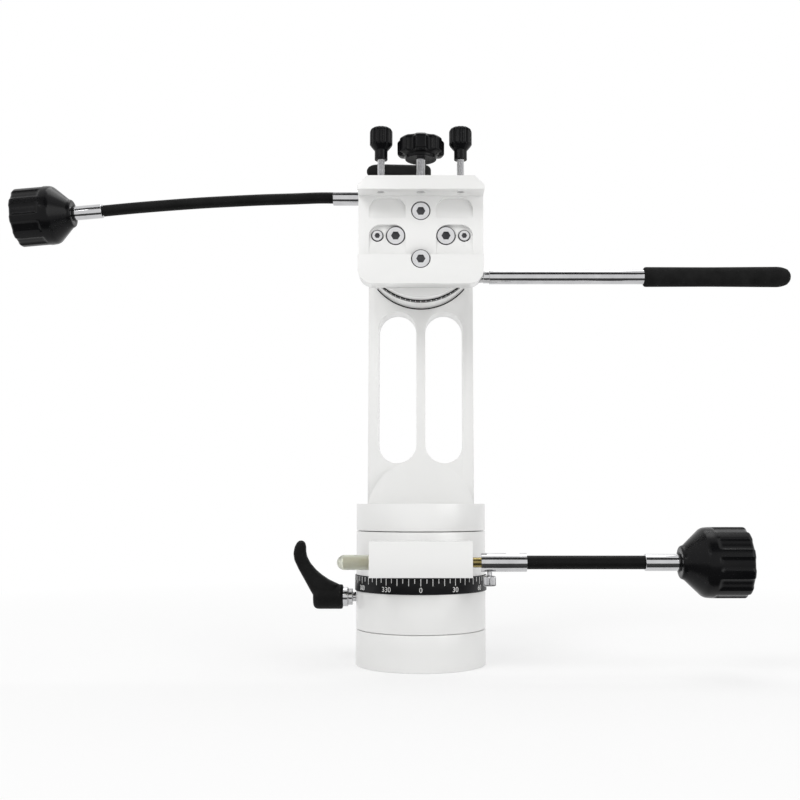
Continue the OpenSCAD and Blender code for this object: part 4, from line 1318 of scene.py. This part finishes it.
@dataclass
class Studio:
    """The floor, the lamps, the dark cards, the sky and the camera."""

    camera_at: Point = (0.0, -0.658, 0.1003)  # where the camera stands, in metres
    sensor: float = 36.0  # width of its sensor
    lens: float = 45.9  # its focal length
    pitch: float = 5.8  # how far it looks up
    shift_x: float = -0.026  # its shift to the side, in widths of the picture
    floor_size: float = 12.0  # width of the floor in metres
    floor_drop: float = 0.0002  # how far it lies under the base, in metres
    floor_spot: float = 1.4  # how many times the shaded spot fits into a metre
    floor_shade: float = 0.4  # how much of the floor's own shading shows under the mount
    sky_light: float = 0.42  # the sky's strength as a light
    middle: Point = (0.0, 0.0, 0.2)  # what the lamps and the upper card face, in metres

    def camera(self) -> None:
        """Makes the camera at the photograph's viewing angle."""
        data = bpy.data.cameras.new("camera")
        data.sensor_width = self.sensor
        data.lens = self.lens
        data.shift_x = self.shift_x
        data.clip_start = 0.01
        made = scene_object("camera", data)
        made.location = self.camera_at
        made.rotation_euler = (math.radians(90 + self.pitch), 0, 0)
        bpy.context.scene.camera = made

    def floor(self) -> None:
        """Makes the pale floor, which looks white apart from a shade under the mount."""
        place = Matrix.Translation((0, 0, -self.floor_drop))
        made = rectangle("floor", (self.floor_size, self.floor_size), place)
        tree = paint_tree("floor_paper")
        cloud = tree.noise(3.0, 2.0)
        paper = tree.node("ShaderNodeBsdfPrincipled", {
            "Base Color": tree.blend(cloud, (0.9, 0.9, 0.9), (0.92, 0.92, 0.92)),
            "Roughness": cloud * 0.1 + 0.7,
        })
        white = tree.node("ShaderNodeEmission", {"Strength": 1.0})
        inputs = {"Vector": tree.coords((self.floor_spot,) * 3)}
        spot = tree.node("ShaderNodeTexGradient", inputs, gradient_type="SPHERICAL")
        near = tree.ramp(Val(tree, spot.outputs["Fac"]), 0.0, 0.9)
        tree.mixed(tree.watched() * (1 - near * self.floor_shade), paper, white)
        made.data.materials.append(tree.owner)

    def lamp(self, name: str, place: Point, size: float, power: float) -> None:
        """Makes one soft area lamp.

        Args:
            name: Its name.
            place: Where it stands, in metres.
            size: Its width.
            power: Its power in watts.
        """
        data = bpy.data.lights.new(name, "AREA")
        data.size = size
        data.energy = power
        made = scene_object(name, data)
        made.location = place
        aim = Vector(self.middle) - Vector(place)
        made.rotation_euler = aim.to_track_quat("-Z", "Y").to_euler()

    def card(self, name: str, place: Point, aim: Point, size: tuple[float, float]) -> None:
        """Makes a dark card that shows in reflections alone and gives metal its contrast.

        Args:
            name: Its name.
            place: Its centre, in metres.
            aim: The point that it faces.
            size: Its width and height.
        """
        face = (Vector(aim) - Vector(place)).to_track_quat("Z", "Y").to_matrix().to_4x4()
        made = rectangle(name, size, Matrix.Translation(place) @ face)
        tree = paint_tree(f"{name}_cloth")
        weave = tree.noise(400.0, 2.0)
        cloth = {
            "Base Color": tree.blend(weave, (0.03, 0.03, 0.03), (0.05, 0.05, 0.05)),
            "Roughness": weave * 0.1 + 0.85,
        }
        made.data.materials.append(tree.surface(cloth))
        made.visible_camera = False
        made.visible_diffuse = False
        made.visible_transmission = False
        made.visible_shadow = False

    def sky(self) -> None:
        """Makes a sky that looks white and lights the object softly."""
        world = bpy.data.worlds.new("sky")
        bpy.context.scene.world = world
        tree = ShaderTree(world, "ShaderNodeOutputWorld")
        soft, plain = (
            tree.node("ShaderNodeBackground", {"Color": (1, 1, 1, 1), "Strength": light})
            for light in (self.sky_light, 1.0)
        )
        tree.mixed(tree.watched(), soft, plain)

    def build(self) -> None:
        """Sets up the whole studio."""
        bpy.context.scene.view_settings.view_transform = "Standard"
        self.camera()
        self.floor()
        self.lamp("key", (-0.9, -1.1, 1.3), 0.9, 14.0)
        self.lamp("fill", (1.2, -1.0, 0.7), 1.1, 8.0)
        self.lamp("top", (0.1, 0.5, 1.6), 1.0, 8.0)
        self.card("upper_card", (0.0, -0.85, 1.15), self.middle, (2.4, 0.8))
        self.card("lower_card", (0.0, -0.22, 0.003), (0, -0.22, 1.0), (1.6, 0.3))
        self.sky()


# Route of the altitude shaft from its sleeve: millimetres along X and down, then the slope
# of its end and how far the knob sits from there

UPPER_START = -63.0
UPPER_ROUTE = [
    (0, 0), (-11, 0), (-29, -0.7), (-51, -1.4), (-74, -2.5), (-97, -3.8), (-120, -5.5),
    (-143, -7.4), (-165.5, -9.6),
]
UPPER_SLOPE = 175.0
UPPER_KNOB = 21.75

# Points of the straight azimuth shaft along X, and where its knob starts

LOWER_ROUTE = (63.0, 98.0, 133.5)
LOWER_KNOB = 154.5

# Seats of the two levers, and places of the outer clamp screws along X

LEVER_Z = 41.5
UPPER_LEVER = (0.0, 87.0, 325.3)
OUTER_CLAMPS = (("left", -27.0), ("right", 27.0))


def main() -> None:
    """Builds the mount's pieces in order."""
    logging.basicConfig(level=logging.INFO, format="%(message)s")
    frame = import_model()
    Studio().build()
    for casting in CASTINGS:
        casting.build(frame)
    for look, names in KEPT.items():
        for name in names:
            node = frame["nodes"][name]
            node.data.materials.clear()
            node.data.materials.append(PAINTS.of(look))
    # A thin black arc painted as the shadow where the altitude housing meets the arm
    JointLine().build()
    DegreeScale().build()
    end = at(LOWER_KNOB, WORM_Y, WORM_Z) @ turn(90, "Y")
    ConeKnob("azimuth_knob", "azimuth_worm", end).build()
    upper = [(UPPER_START + x, UPPER_WORM_Y, UPPER_WORM_Z + z) for x, z in UPPER_ROUTE]
    end = at(*upper[-1]) @ turn(UPPER_SLOPE, "Y") @ at(UPPER_KNOB, 0, 0) @ turn(90, "Y")
    ConeKnob("altitude_knob", "altitude_knob", end).build()
    StarKnob().build()
    for side, x in OUTER_CLAMPS:
        SideKnob(side, x).build()
        ClampScrew(side, x, 5.0, 0.8, 341.7).build()
    ClampScrew("middle", 0.0, 6.0, 1.0, 344.9).build()
    seat = at(-BASE_RADIUS, 0, LEVER_Z) @ turn(-90, "Y")
    ClampLever("azimuth_lever", seat, RISING_ARM).build()
    seat = at(*UPPER_LEVER) @ turn(165, "Z")
    ClampLever("altitude_lever", seat, LEVEL_ARM).build()
    lower = [(x, WORM_Y, WORM_Z) for x in LOWER_ROUTE]
    FlexShaft("azimuth_cable", "azimuth_worm", lower).build()
    FlexShaft("altitude_cable", "head", upper).build()
    HandleGrip().build()
    ThumbScrew().build()
    ScrewFaces().build()


if __name__ == "__main__":
    main()
